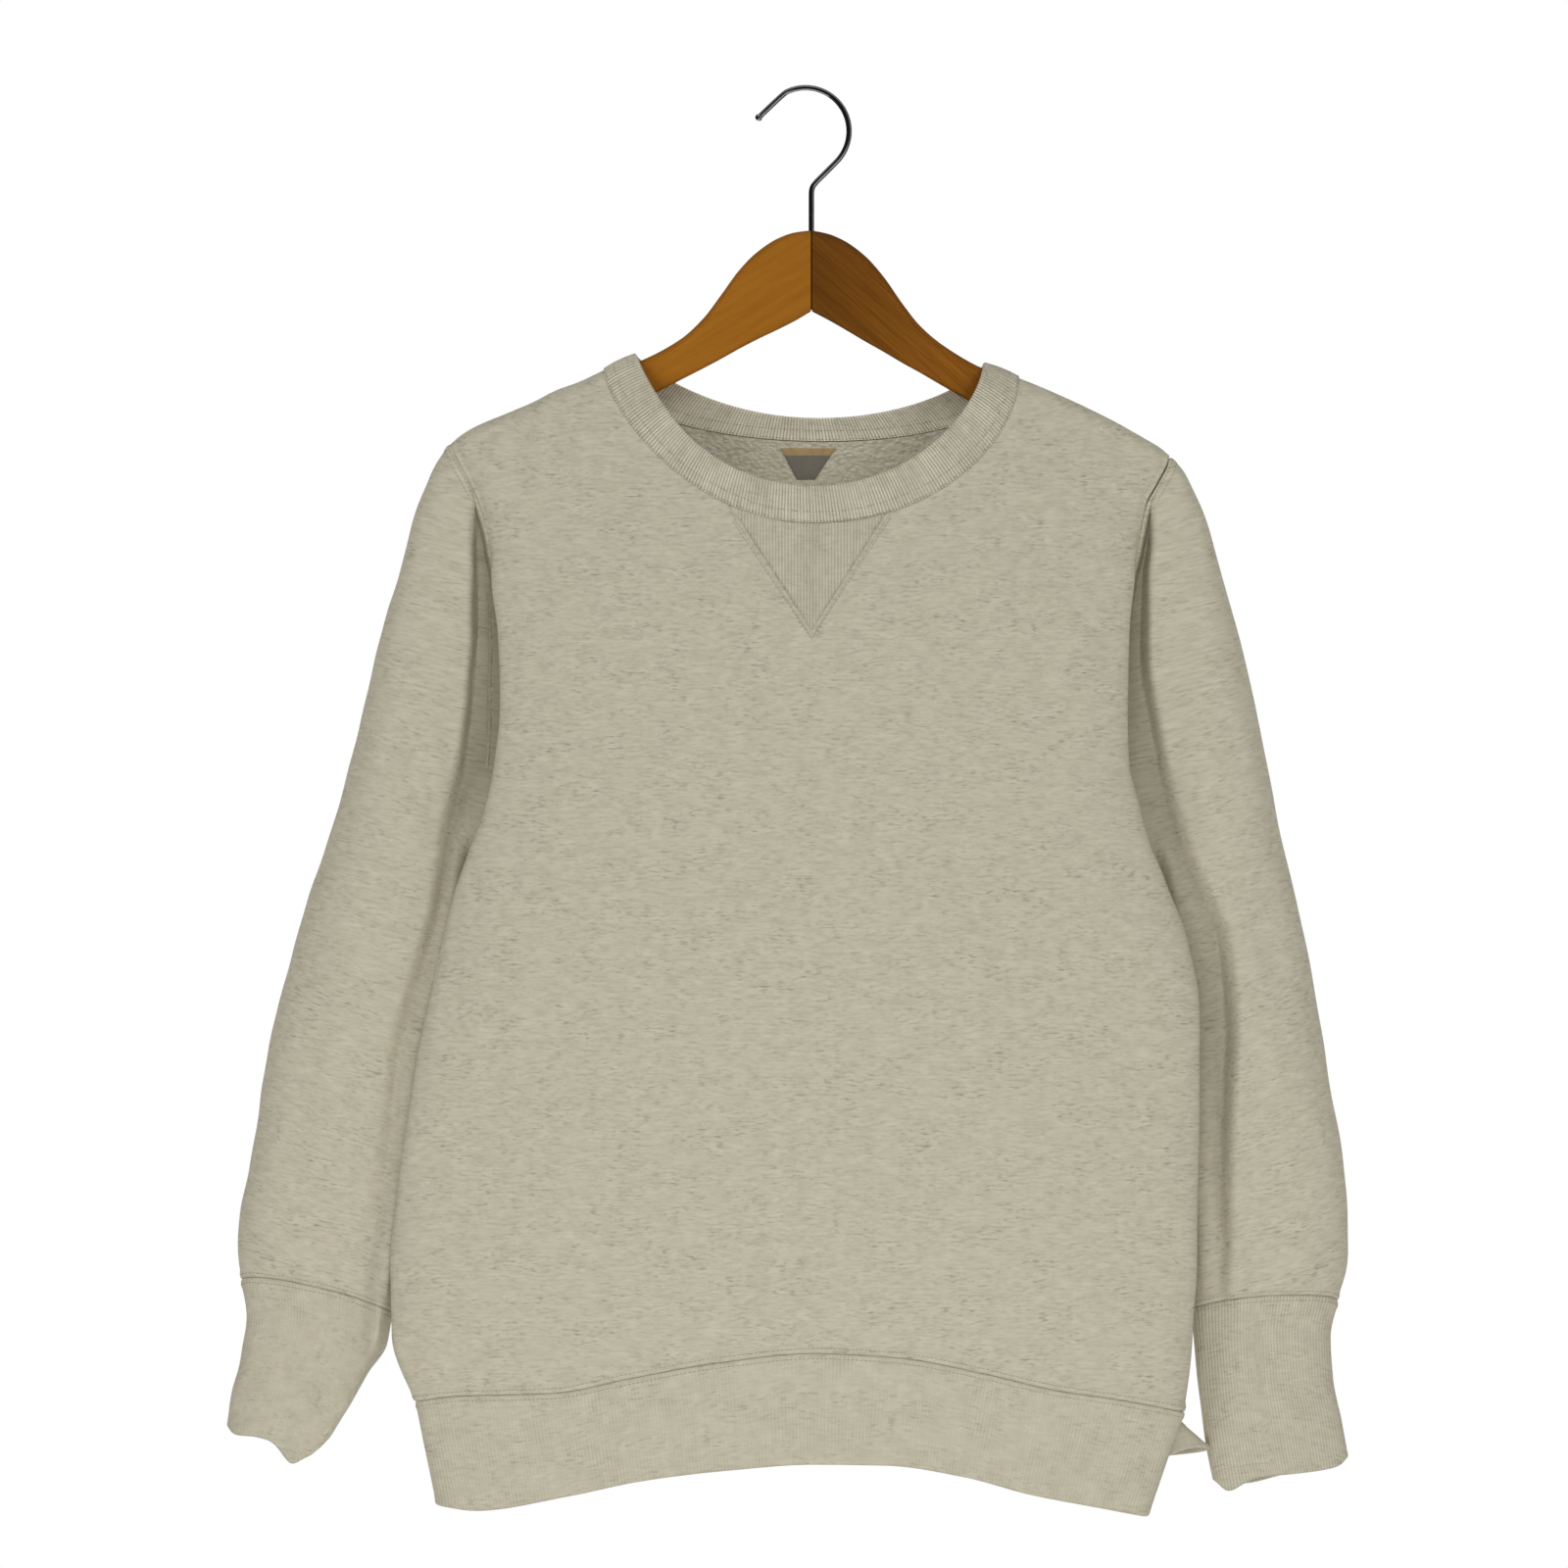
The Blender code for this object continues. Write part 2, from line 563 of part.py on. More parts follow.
class Sheet:
    """A grid of points on the middle of a cloth wall, a list of rows."""

    def __init__(self, name, grid, thickness, closed, sewn, outside):
        self.name, self.grid, self.thickness = name, grid, thickness
        self.closed, self.sewn = closed, sewn
        self.normals = self._normals()
        row, column, direction = outside
        if self.normals[row][column].dot(Vector(direction)) < 0:
            self.normals = [[-normal for normal in line] for line in self.normals]

    def beside(self, row, column, rows, columns):
        """The grid's point a step away, kept inside the grid's borders."""
        row = min(max(row + rows, 0), len(self.grid) - 1)
        width = len(self.grid[0])
        column = (column + columns) % width if self.closed \
            else min(max(column + columns, 0), width - 1)
        return self.grid[row][column]

    def _normals(self):
        """A normal at each point, the mean of the normals of the cells that meet there."""
        height, width = len(self.grid), len(self.grid[0])
        sums = [[Vector() for _ in range(width)] for _ in range(height)]
        for row in range(height - 1):
            for column in range(width if self.closed else width - 1):
                after = (column + 1) % width
                corners = [(row, column), (row, after), (row + 1, after), (row + 1, column)]
                a, b, c, d = [self.grid[i][j] for i, j in corners]
                normal = (c - a).cross(d - b).normalized()
                for i, j in corners:
                    sums[i][j] += normal
        return [[total.normalized() for total in line] for line in sums]

    def drawn_back(self, row, column):
        """A point with its sewn borders drawn back by half of the seam gap."""
        place, normal = self.grid[row][column], self.normals[row][column]
        last = len(self.grid) - 1
        borders = []
        if row == 0 and "top" in self.sewn:
            borders.append((1, 0))
        if row == last and "bottom" in self.sewn:
            borders.append((-1, 0))
        if not self.closed and "sides" in self.sewn:
            if column == 0:
                borders.append((0, 1))
            if column == len(self.grid[0]) - 1:
                borders.append((0, -1))
        moved = place.copy()
        for rows, columns in borders:
            inward = self.beside(row, column, rows, columns) - place
            along = self.beside(row, column, columns, rows) - self.beside(row, column, -columns, -rows)
            along.normalize()
            inward -= along * inward.dot(along)
            inward -= normal * inward.dot(normal)
            moved += inward.normalized() * SEAM_GAP / 2
        return moved


def share_seam_normals(sheets):
    """Give the points that sheets share one normal, the mean of the sheets' own."""
    def key(place):
        return tuple(round(value, 3) for value in place)

    sums = {}
    for sheet in sheets:
        for line, normals in zip(sheet.grid, sheet.normals):
            for place, normal in zip(line, normals):
                sums[key(place)] = sums.get(key(place), Vector()) + normal
    for sheet in sheets:
        sheet.normals = [[sums[key(place)].normalized() for place in line] for line in sheet.grid]


def wall(sheet, material):
    """The closed solid of a sheet: its two faces and the rims that join them."""
    mesh = bmesh.new()
    faces = []
    for side in (0.5, -0.5):
        faces.append([[mesh.verts.new((sheet.drawn_back(row, column)
                                       + sheet.normals[row][column] * sheet.thickness * side) * MM)
                       for column in range(len(sheet.grid[0]))]
                      for row in range(len(sheet.grid))])
    outer, inner = faces
    rows, columns = len(outer) - 1, len(outer[0])
    across = range(columns) if sheet.closed else range(columns - 1)
    for row in range(rows):
        for column in across:
            nearby = (column + 1) % columns
            for skin in faces:
                mesh.faces.new((skin[row][column], skin[row][nearby],
                                skin[row + 1][nearby], skin[row + 1][column]))
    for row in (0, rows):
        for column in across:
            nearby = (column + 1) % columns
            mesh.faces.new((outer[row][column], outer[row][nearby],
                            inner[row][nearby], inner[row][column]))
    if not sheet.closed:
        for column in (0, columns - 1):
            for row in range(rows):
                mesh.faces.new((outer[row][column], outer[row + 1][column],
                                inner[row + 1][column], inner[row][column]))
    return finish(mesh, sheet.name, material)


def finish(mesh, name, material):
    """Turn a closed bmesh into a smooth-shaded object with its material."""
    bmesh.ops.recalc_face_normals(mesh, faces=mesh.faces)
    bmesh.ops.triangulate(mesh, faces=mesh.faces)
    data = bpy.data.meshes.new(name)
    mesh.to_mesh(data)
    mesh.free()
    data.shade_smooth()
    data.set_sharp_from_angle(angle=math.radians(40))
    data.materials.append(material)
    thing = bpy.data.objects.new(name, data)
    bpy.context.scene.collection.objects.link(thing)
    return thing


def finish_material(name, colour, roughness, metallic=0.0):
    """A plain material for one piece."""
    material = bpy.data.materials.new(name)
    material.use_nodes = True
    shader = material.node_tree.nodes["Principled BSDF"]
    shader.inputs["Base Color"].default_value = (*colour, 1.0)
    shader.inputs["Roughness"].default_value = roughness
    shader.inputs["Metallic"].default_value = metallic
    return material


# --- the pieces of cloth --------------------------------------------------------------------

def span(first, last):
    """Whole numbers from first to last, up or down, both included."""
    return range(first, last + 1) if first <= last else range(first, last - 1, -1)


def cloth_sheets():
    """Every sewn piece of the garment as a sheet, from the body outwards."""
    columns = span(-SEAM_COLUMN, SEAM_COLUMN)
    body = "top bottom sides"
    sheets = [
        Sheet("front_panel", [[front(c, drop) for c in columns] for drop in ROWS.drop],
              JERSEY, False, body, (10, 12, (0, -1, 0))),
        Sheet("back_panel", [[back(c, drop) for c in columns] for drop in ROWS.drop],
              JERSEY, False, body, (10, 12, (0, 1, 0))),
    ]
    around = range(RING_POINTS)
    for side, sign in (("right", -1), ("left", 1)):
        sheets.append(Sheet(f"sleeve_{side}",
                            [[sleeve(side, ring, step) for step in around]
                             for ring in span(0, LAST_RING)],
                            JERSEY, True, "top bottom", (10, 0, (sign, 0, 0))))
        sheets.append(Sheet(f"cuff_{side}",
                            [[cuff(side, row, step) for step in around]
                             for row in span(0, LAST_CUFF_ROW)],
                            RIB, True, "top", (2, 0, (sign, 0, 0))))
    band = [step / BAND_STEPS for step in span(0, BAND_STEPS)]
    half = NECK_COLUMN
    neck = [(c, "front") for c in span(-half, half)] + [(c, "back") for c in span(half - 1, 1 - half)]
    sheets.append(Sheet("neck_rib", [[collar(c, face, across) for c, face in neck]
                                     for across in band],
                        RIB, True, "top", (1, half, (0, -1, 0))))
    edge = SEAM_COLUMN
    round_hem = [(c, "front") for c in span(-edge, edge)] + [(c, "back") for c in span(edge - 1, 1 - edge)]
    sheets.append(Sheet("hem_rib", [[hem(c, face, across) for c, face in round_hem]
                                    for across in band],
                        RIB, True, "top", (1, edge, (0, -1, 0))))
    return sheets


def gusset_sheet():
    """The ribbed V under the collar, lying on the front."""
    offset = (JERSEY + GUSSET) / 2 + PATCH_GAP
    grid = []
    for row in span(0, GUSSET_ROWS):
        share = row / GUSSET_ROWS
        half = GUSSET_HALF_TOP + (GUSSET_TIP_WIDTH / 2 - GUSSET_HALF_TOP) * share
        line = []
        for column in span(-GUSSET_COLUMNS, GUSSET_COLUMNS):
            x = half * column / GUSSET_COLUMNS - 0.5 * (1 - share)
            angle = math.degrees(math.asin(x / FRONT_NECK.half))
            start = FRONT_NECK.at(angle)[1] + 1.2
            below = start + (GUSSET_TIP_BELOW - start) * share
            line.append(point(x, front_y(x, below) - offset, below))
        grid.append(line)
    return Sheet("front_gusset", grid, GUSSET, False, "", (2, 2, (0, -1, 0)))


def label_sheet():
    """The small label sewn on the inside of the back, just under the collar."""
    offset = (JERSEY + LABEL) / 2 + PATCH_GAP
    grid = []
    for row in span(0, 2):
        first, last, below = [a + (b - a) * row / 2 for a, b in zip(LABEL_TOP, LABEL_FOOT)]
        line = []
        for column in span(0, 4):
            x = first + (last - first) * column / 4
            y = back_y(x, below, BODY.at(below, side_of(x)), 0.0)
            line.append(point(x, y - offset, below))
        grid.append(line)
    return Sheet("neck_label", grid, LABEL, False, "", (1, 1, (0, -1, 0)))


# --- the hanger -----------------------------------------------------------------------------

def arm_section(top, foot, scale):
    """Y and height round one upright section of an arm: a round top and eased foot corners."""
    middle = (top + foot) / 2
    outline = []
    for step in span(0, 8):
        turn = math.pi * step / 8
        outline.append((WOOD_HALF * math.cos(turn), top + WOOD_HALF * (1 - math.sin(turn))))
    for sign in (-1, 1):
        for step in (span(0, 3) if sign < 0 else span(3, 0)):
            turn = math.pi / 2 * step / 3
            y = sign * (WOOD_HALF - WOOD_FOOT_RADIUS * (1 - math.cos(turn)))
            outline.append((y, foot - WOOD_FOOT_RADIUS * (1 - math.sin(turn))))
    return [(y * scale, middle + (height - middle) * scale) for y, height in outline]


def hanger_arm(side, material, cutter):
    """One half of the wooden hanger, from the mitre at the centre to its rounded tip."""
    sign = -1 if side == "right" else 1
    mesh = bmesh.new()
    loops = []
    tip_steps = ((WOOD_TIP - 6, 1.0), (WOOD_TIP - 2.5, 0.9), (WOOD_TIP - 0.6, 0.7), (WOOD_TIP, 0.4))
    stations = [(SEAM_GAP / 2 + (WOOD_TIP - 10) * step / ARM_STATIONS, 1.0)
                for step in span(0, ARM_STATIONS)] + list(tip_steps)
    for out, scale in stations:
        top, foot = ARMS.at(out, f"{side}_top"), ARMS.at(out, f"{side}_foot")
        if out > CREST.keys[0]:
            top = crest(sign * out) + CREST_TO_WOOD
        loops.append([mesh.verts.new(point(sign * out, y, height) * MM)
                      for y, height in arm_section(top, foot, scale)])
    for loop, following in zip(loops, loops[1:]):
        for index in range(len(loop)):
            nearby = (index + 1) % len(loop)
            mesh.faces.new((loop[index], loop[nearby], following[nearby], following[index]))
    mesh.faces.new(loops[0])
    mesh.faces.new(loops[-1])
    arm = finish(mesh, f"hanger_arm_{side}", material)
    bore = arm.modifiers.new("bore", "BOOLEAN")
    bore.operation = "DIFFERENCE"
    bore.object = cutter
    return arm


def tube(name, path, material, sides=12):
    """A closed tube along a path in the X-Z plane, a list of X, height and radius."""
    mesh = bmesh.new()
    rings = []
    for index, (x, below, radius) in enumerate(path):
        before, after = path[max(index - 1, 0)], path[min(index + 1, len(path) - 1)]
        along = Vector((after[0] - before[0], 0, before[1] - after[1])).normalized()
        across = Vector((along.z, 0, -along.x))
        ring = []
        for step in range(sides):
            turn = 2 * math.pi * step / sides
            offset = across * math.cos(turn) + Vector((0, 1, 0)) * math.sin(turn)
            ring.append(mesh.verts.new((point(x, 0, below) + offset * radius) * MM))
        rings.append(ring)
    for ring, following in zip(rings, rings[1:]):
        for index in range(sides):
            nearby = (index + 1) % sides
            mesh.faces.new((ring[index], ring[nearby], following[nearby], following[index]))
    mesh.faces.new(rings[0])
    mesh.faces.new(rings[-1])
    return finish(mesh, name, material)


def hook_path():
    """The middle line of the hook's wire and its radius, from the ball tip to the bore."""
    path = list(zip(HOOK_FREE.x, HOOK_FREE.below, HOOK_FREE.radius))
    first, last = HOOK_ARC
    steps = 22
    for step in span(0, steps):
        turn = math.radians(first + (last - first) * step / steps)
        path.append((HOOK_CENTRE[0] + HOOK_RADIUS * math.cos(turn),
                     HOOK_CENTRE[1] - HOOK_RADIUS * math.sin(turn), WIRE_RADIUS))
    path += [(x, below, WIRE_RADIUS) for x, below in zip(HOOK_STEM.x, HOOK_STEM.below)]
    return path


def bore_cutter():
    """The drill for the hook's bore, which runs down between the two arms."""
    top = ARMS.right_top[0]
    path = [(0.0, top - 20, BORE_RADIUS), (0.0, top + BORE_DEPTH, BORE_RADIUS)]
    cutter = tube("bore_cutter", path, None, sides=16)
    cutter.hide_render = True
    cutter.display_type = "WIRE"
    return cutter


def main():
    """Clear the scene and make every piece."""
    for thing in list(bpy.data.objects):
        bpy.data.objects.remove(thing, do_unlink=True)
    jersey = finish_material("heather_fleece", (0.49, 0.46, 0.36), 0.95)
    rib = finish_material("heather_rib", (0.47, 0.44, 0.34), 0.95)
    label = finish_material("woven_label", (0.38, 0.35, 0.28), 0.8)
    honey = finish_material("wood_honey", (0.30, 0.12, 0.012), 0.4)
    walnut = finish_material("wood_brown", (0.19, 0.07, 0.01), 0.4)
    chrome = finish_material("chrome", (0.6, 0.6, 0.6), 0.12, 1.0)

    sheets = cloth_sheets()
    share_seam_normals(sheets)
    for sheet in sheets:
        wall(sheet, rib if sheet.thickness == RIB else jersey)
    wall(gusset_sheet(), rib)
    wall(label_sheet(), label)

    cutter = bore_cutter()
    hanger_arm("right", honey, cutter)
    hanger_arm("left", walnut, cutter)
    tube("hanger_hook", hook_path(), chrome)


main()
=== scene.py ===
"""Looks of a crew-neck sweatshirt of heather fleece that hangs on a mitred wooden hanger.

The frame is the hook's own: the origin is the inner top of the hook, where a rail bears, +Z is
up, the front of the garment faces -Y and the wearer's right side is at -X. Sizes are in
millimetres until a mesh is made, and "below" is always the distance below the origin.

Each piece of cloth starts as a grid of points on the middle of its wall. Soft creases are laid
on the grid, and the grid then gets an outer and an inner skin, with a rounded free edge or a
sunk seam on each border.
"""

from __future__ import annotations

import logging
import math
from collections.abc import Callable
from dataclasses import dataclass, field
from enum import Enum
from typing import Any

import bpy
import numpy as np
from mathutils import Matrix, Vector

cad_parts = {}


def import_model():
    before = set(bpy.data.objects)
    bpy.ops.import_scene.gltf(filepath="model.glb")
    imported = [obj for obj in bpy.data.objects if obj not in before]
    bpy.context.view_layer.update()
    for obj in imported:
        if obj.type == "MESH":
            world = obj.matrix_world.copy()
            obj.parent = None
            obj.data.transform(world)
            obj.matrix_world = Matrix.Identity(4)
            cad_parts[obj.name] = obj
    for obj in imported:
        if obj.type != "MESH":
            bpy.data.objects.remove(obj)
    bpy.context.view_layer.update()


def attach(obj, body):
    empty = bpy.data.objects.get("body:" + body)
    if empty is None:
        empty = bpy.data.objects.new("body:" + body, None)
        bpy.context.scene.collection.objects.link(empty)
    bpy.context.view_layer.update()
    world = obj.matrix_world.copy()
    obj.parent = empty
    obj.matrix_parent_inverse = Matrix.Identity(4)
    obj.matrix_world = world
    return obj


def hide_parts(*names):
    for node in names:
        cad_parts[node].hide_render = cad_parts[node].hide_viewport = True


LOG = logging.getLogger("sweatshirt")
MM = 0.001
BODY = "root"
CLOTH_MAP = "cloth"
FAR = 1e9
TINY = 1e-6

Array = np.ndarray
Material = bpy.types.Material
Socket = bpy.types.NodeSocket
Thing = bpy.types.Object
Point = tuple[float, float, float]
Row = tuple[Array, Array, bool]
Stretch = tuple[float, float, int]


class Side(Enum):
    """The wearer's two sides."""

    RIGHT = "right"
    LEFT = "left"

    @property
    def sign(self) -> int:
        """Sign of X on this side."""
        return -1 if self is Side.RIGHT else 1


class Face(Enum):
    """The two faces of the hanging garment."""

    FRONT = "front"
    BACK = "back"

    @property
    def ahead(self) -> Point:
        """The direction in which this face looks."""
        return (0.0, -1.0 if self is Face.FRONT else 1.0, 0.0)


class Border(Enum):
    """What happens at a border of a piece of cloth."""

    SEWN = "sewn"
    FREE = "free"
    NONE = "none"


# --- numbers --------------------------------------------------------------------------------


class Profile:
    """Sizes under named columns, read on a smooth curve along the first column."""

    def __init__(
        self, names: str, *rows: tuple[float, ...], shared: Profile | None = None
    ) -> None:
        """Keep the columns and their slopes.

        Args:
            names: The columns' names, separated by spaces.
            rows: One tuple of numbers for each row.
            shared: A profile with the same first column, whose other columns are taken over.
        """
        columns = np.array(rows, dtype=float).T
        self.keys = columns[0]
        self.columns = dict(zip(names.split(), columns))
        self.columns |= shared.columns if shared else {}
        self.slopes = {name: self._slopes(values) for name, values in self.columns.items()}

    def _slopes(self, values: Array) -> Array:
        """Slope at each row: a harmonic mean of both sides, level at a peak.

        Args:
            values: One column.

        Returns:
            The slope at each row.
        """
        rises = np.diff(values) / np.diff(self.keys)
        before, after = rises[:-1], rises[1:]
        slopes = np.zeros(len(values))
        same = before * after > 0
        slopes[1:-1][same] = 2 * before[same] * after[same] / (before + after)[same]
        slopes[0], slopes[-1] = rises[0], rises[-1]
        return slopes

    def at(self, key: Any, name: str) -> Array:
        """Read one column.

        Args:
            key: A number or an array of places along the first column.
            name: The column to read.

        Returns:
            The column's value at each place, held level beyond both ends.
        """
        key = np.clip(np.asarray(key, dtype=float), self.keys[0], self.keys[-1])
        row = np.clip(np.searchsorted(self.keys, key, side="right") - 1, 0, len(self.keys) - 2)
        step = self.keys[row + 1] - self.keys[row]
        t = (key - self.keys[row]) / step
        values, slopes = self.columns[name], self.slopes[name]
        return (
            values[row] * (1 + 2 * t) * (1 - t) ** 2
            + values[row + 1] * t * t * (3 - 2 * t)
            + step * (slopes[row] * t * (1 - t) ** 2 - slopes[row + 1] * t * t * (1 - t))
        )

    def at_side(self, key: Any, left: Any) -> Array:
        """Read the column "left" where left is true, and the column "right" elsewhere."""
        return np.where(left, self.at(key, "left"), self.at(key, "right"))


def places(x: Any, y: Any, below: Any) -> Array:
    """Points from their X, Y and distance below the origin, as an array of rows of three."""
    parts = np.broadcast_arrays(x, y, -np.asarray(below, dtype=float))
    return np.stack(parts, axis=-1).astype(float)


def spread(first: Any, second: Any) -> list[Array]:
    """Two arrays of numbers brought to the same shape."""
    return np.broadcast_arrays(np.asarray(first, float), np.asarray(second, float))


def halves(column: Array) -> tuple[Array, Array, Array]:
    """How far each column is from the middle, its sign, and whether it is on the left."""
    return np.abs(column), np.where(column < 0, -1.0, 1.0), column >= 0


def smoothstep(value: Any) -> Array:
    """A soft rise from 0 to 1 as the value goes from 0 to 1."""
    t = np.clip(value, 0.0, 1.0)
    return t * t * (3 - 2 * t)


def lesser(a: Array, b: Array, power: int = 6) -> Array:
    """The smaller of two lengths, with a soft turn from one to the other.

    Args:
        a: The first length.
        b: The second length.
        power: How tight the turn is.

    Returns:
        The soft minimum, never under zero.
    """
    low = np.maximum(np.minimum(a, b), 0.0)
    high = np.maximum(np.maximum(a, b), TINY)
    return low * (1 + (low / high) ** power) ** (-1 / power)


def unit(vectors: Array) -> Array:
    """Vectors made one long."""
    length = np.linalg.norm(vectors, axis=-1, keepdims=True)
    return vectors / np.maximum(length, 1 / FAR)


def runs(*stretches: Stretch) -> Array:
    """Rising numbers made of even stretches.

    Args:
        stretches: First value, last value and number of steps of each stretch.

    Returns:
        All the values, each only once.
    """
    parts = [np.linspace(a, b, steps, endpoint=False) for a, b, steps in stretches]
    return np.concatenate([*parts, [stretches[-1][1]]])


def reach_along(line: Array) -> Array:
    """Distance of each point of a line from its first point, along the line."""
    return np.concatenate([[0.0], np.cumsum(np.linalg.norm(np.diff(line, axis=0), axis=1))])


def even_keys(keys: Array, points: Array, count: int) -> Array:
    """Keys that stand at even distances along a line.

    Args:
        keys: Rising or falling keys along it.
        points: The line's points at those keys.
        count: Number of steps.

    Returns:
        The first key of each step.
    """
    reach = reach_along(points)
    return np.interp(np.linspace(0, reach[-1], count, endpoint=False), reach, keys)


# --- soft folds -----------------------------------------------------------------------------


@dataclass(frozen=True)
class Fold:
    """A soft ridge or trough that runs along a line on the hanging cloth.

    Attributes:
        line: X and distance below the origin of the points it runs through, in mm.
        width: Half of its breadth, in mm.
        height: How far it stands out of the cloth, in mm, below zero for a trough.
        face: The face of the garment that it lies on.
        taper: Share of its length over which each end dies out.
        least: Share of the height that is left at both ends.
    """

    line: tuple[tuple[float, float], ...]
    width: float
    height: float
    face: Face = Face.FRONT
    taper: float = 0.3
    least: float = 0.15

    def lift(self, x: Array, below: Array) -> Array:
        """How far the fold lifts the cloth at each place.

        Args:
            x: X of the places.
            below: Their distances below the origin.

        Returns:
            The lift in mm, dying out at both ends of the line.
        """
        best = np.full(np.shape(x), FAR)
        along_best = np.zeros(np.shape(x))
        done, spots = 0.0, np.array(self.line)
        lengths = np.linalg.norm(np.diff(spots, axis=0), axis=1)
        for start, end, length in zip(spots, spots[1:], lengths):
            run = (end - start) / length
            along = (x - start[0]) * run[0] + (below - start[1]) * run[1]
            held = np.clip(along, 0, length)
            gap = np.hypot(x - start[0] - held * run[0], below - start[1] - held * run[1])
            nearer = gap < best
            best = np.where(nearer, gap, best)
            along_best = np.where(nearer, done + held, along_best)
            done += length
        share = along_best / lengths.sum()
        ends = smoothstep(share / self.taper) * smoothstep((1 - share) / self.taper)
        ends = ends * (1 - self.least) + self.least
        return self.height * np.exp(-((best / self.width) ** 2)) * ends


@dataclass(frozen=True)
class Waves:
    """Slow irregular waves that no cloth is free of, made of a few crossing ripples.

    Attributes:
        height: Height of each ripple, in mm.
        shortest: Length of the shortest ripple, in mm.
        longest: Length of the longest ripple, in mm.
        count: Number of ripples.
        seed: Where the ripples' directions start.
        power: How fast a ripple's height falls with its length.
        back_shift: How far along X the back's waves are moved, so that they differ, in mm.
    """

    height: float = 0.16
    shortest: float = 28.0
    longest: float = 110.0
    count: int = 14
    seed: int = 5
    power: float = 0.6
    back_shift: float = 300.0

    def lift(self, x: Array, below: Array) -> Array:
        """How far the waves lift the cloth at each place.

        Args:
            x: X of the places.
            below: Their distances below the origin.

        Returns:
            The lift in mm.
        """
        chance = np.random.default_rng(self.seed)
        total = np.zeros(np.shape(x))
        for _ in range(self.count):
            length = chance.uniform(self.shortest, self.longest)
            way, start = chance.uniform(-1.0, 1.0), chance.uniform(0, 2 * math.pi)
            along = x * math.cos(way) + below * math.sin(way)
            height = self.height * (length / self.longest) ** self.power
            total += height * np.sin(2 * math.pi * along / length + start)
        return total


def lifts(folds: tuple[Fold, ...], waves: Waves, points: Array, normals: Array) -> Array:
    """What folds and waves lift at each point of a grid.

    Args:
        folds: Folds of both faces.
        waves: The cloth's slow waves.
        points: The grid's points.
        normals: The directions out of the cloth there.

    Returns:
        The lift in mm.
    """
    turn_over = 0.8
    x, below = points[..., 0], -points[..., 2]
    front = smoothstep(0.5 - normals[..., 1] / turn_over)
    total = waves.lift(x, below) * front
    total = total + waves.lift(x + waves.back_shift, below) * (1 - front)
    for fold in folds:
        total = total + fold.lift(x, below) * (front if fold.face is Face.FRONT else 1 - front)
    return total


@dataclass(frozen=True)
class Ridge:
    """A soft raised band that runs at a distance from a border.

    Attributes:
        middle: Distance of the band's middle from the border, in mm.
        width: Half of its breadth, in mm.
        height: How high it is, in mm.
    """

    middle: float
    width: float
    height: float

    def at(self, gap: Array) -> Array:
        """The relief at each distance from the border, in mm."""
        return self.height * np.exp(-(((gap - self.middle) / self.width) ** 2))


# --- cloth ----------------------------------------------------------------------------------


@dataclass(frozen=True)
class Cut:
    """How a piece was cut before it was sewn, what it hangs on, and what it stands for.

    Attributes:
        wide: Breadth of the cut, in metres; on a tube all the way round.
        long: Length of the cut, in metres.
        rests_on: Names of the pieces that hold it up.
        slot: The record's material slot that it takes its finish from.
        node: The solid that it stands for.
    """

    wide: float
    long: float
    rests_on: tuple[str, ...]
    slot: str
    node: str


PANELS = ("front_cloth", "back_cloth")
HANGER_ARMS = ("hanger_right", "hanger_left")
FLEECE, RIB, LABEL = "heather_fleece", "heather_rib", "woven_label"
CUTS = {
    "front_cloth": Cut(0.56, 0.65, HANGER_ARMS, FLEECE, "front_panel"),
    "back_cloth": Cut(0.52, 0.645, HANGER_ARMS, FLEECE, "back_panel"),
    "collar_rib": Cut(0.65, 0.028, PANELS, RIB, "neck_rib"),
    "hem_band": Cut(1.02, 0.072, PANELS, RIB, "hem_rib"),
    "v_gusset": Cut(0.104, 0.1, ("front_cloth",), RIB, "front_gusset"),
    "label_tape": Cut(0.034, 0.024, ("back_cloth",), LABEL, "neck_label"),
    "sleeve_right_cloth": Cut(0.52, 0.535, PANELS, FLEECE, "sleeve_right"),
    "sleeve_left_cloth": Cut(0.515, 0.535, PANELS, FLEECE, "sleeve_left"),
    "cuff_right_rib": Cut(0.205, 0.11, ("sleeve_right_cloth",), RIB, "cuff_right"),
    "cuff_left_rib": Cut(0.195, 0.117, ("sleeve_left_cloth",), RIB, "cuff_left"),
}


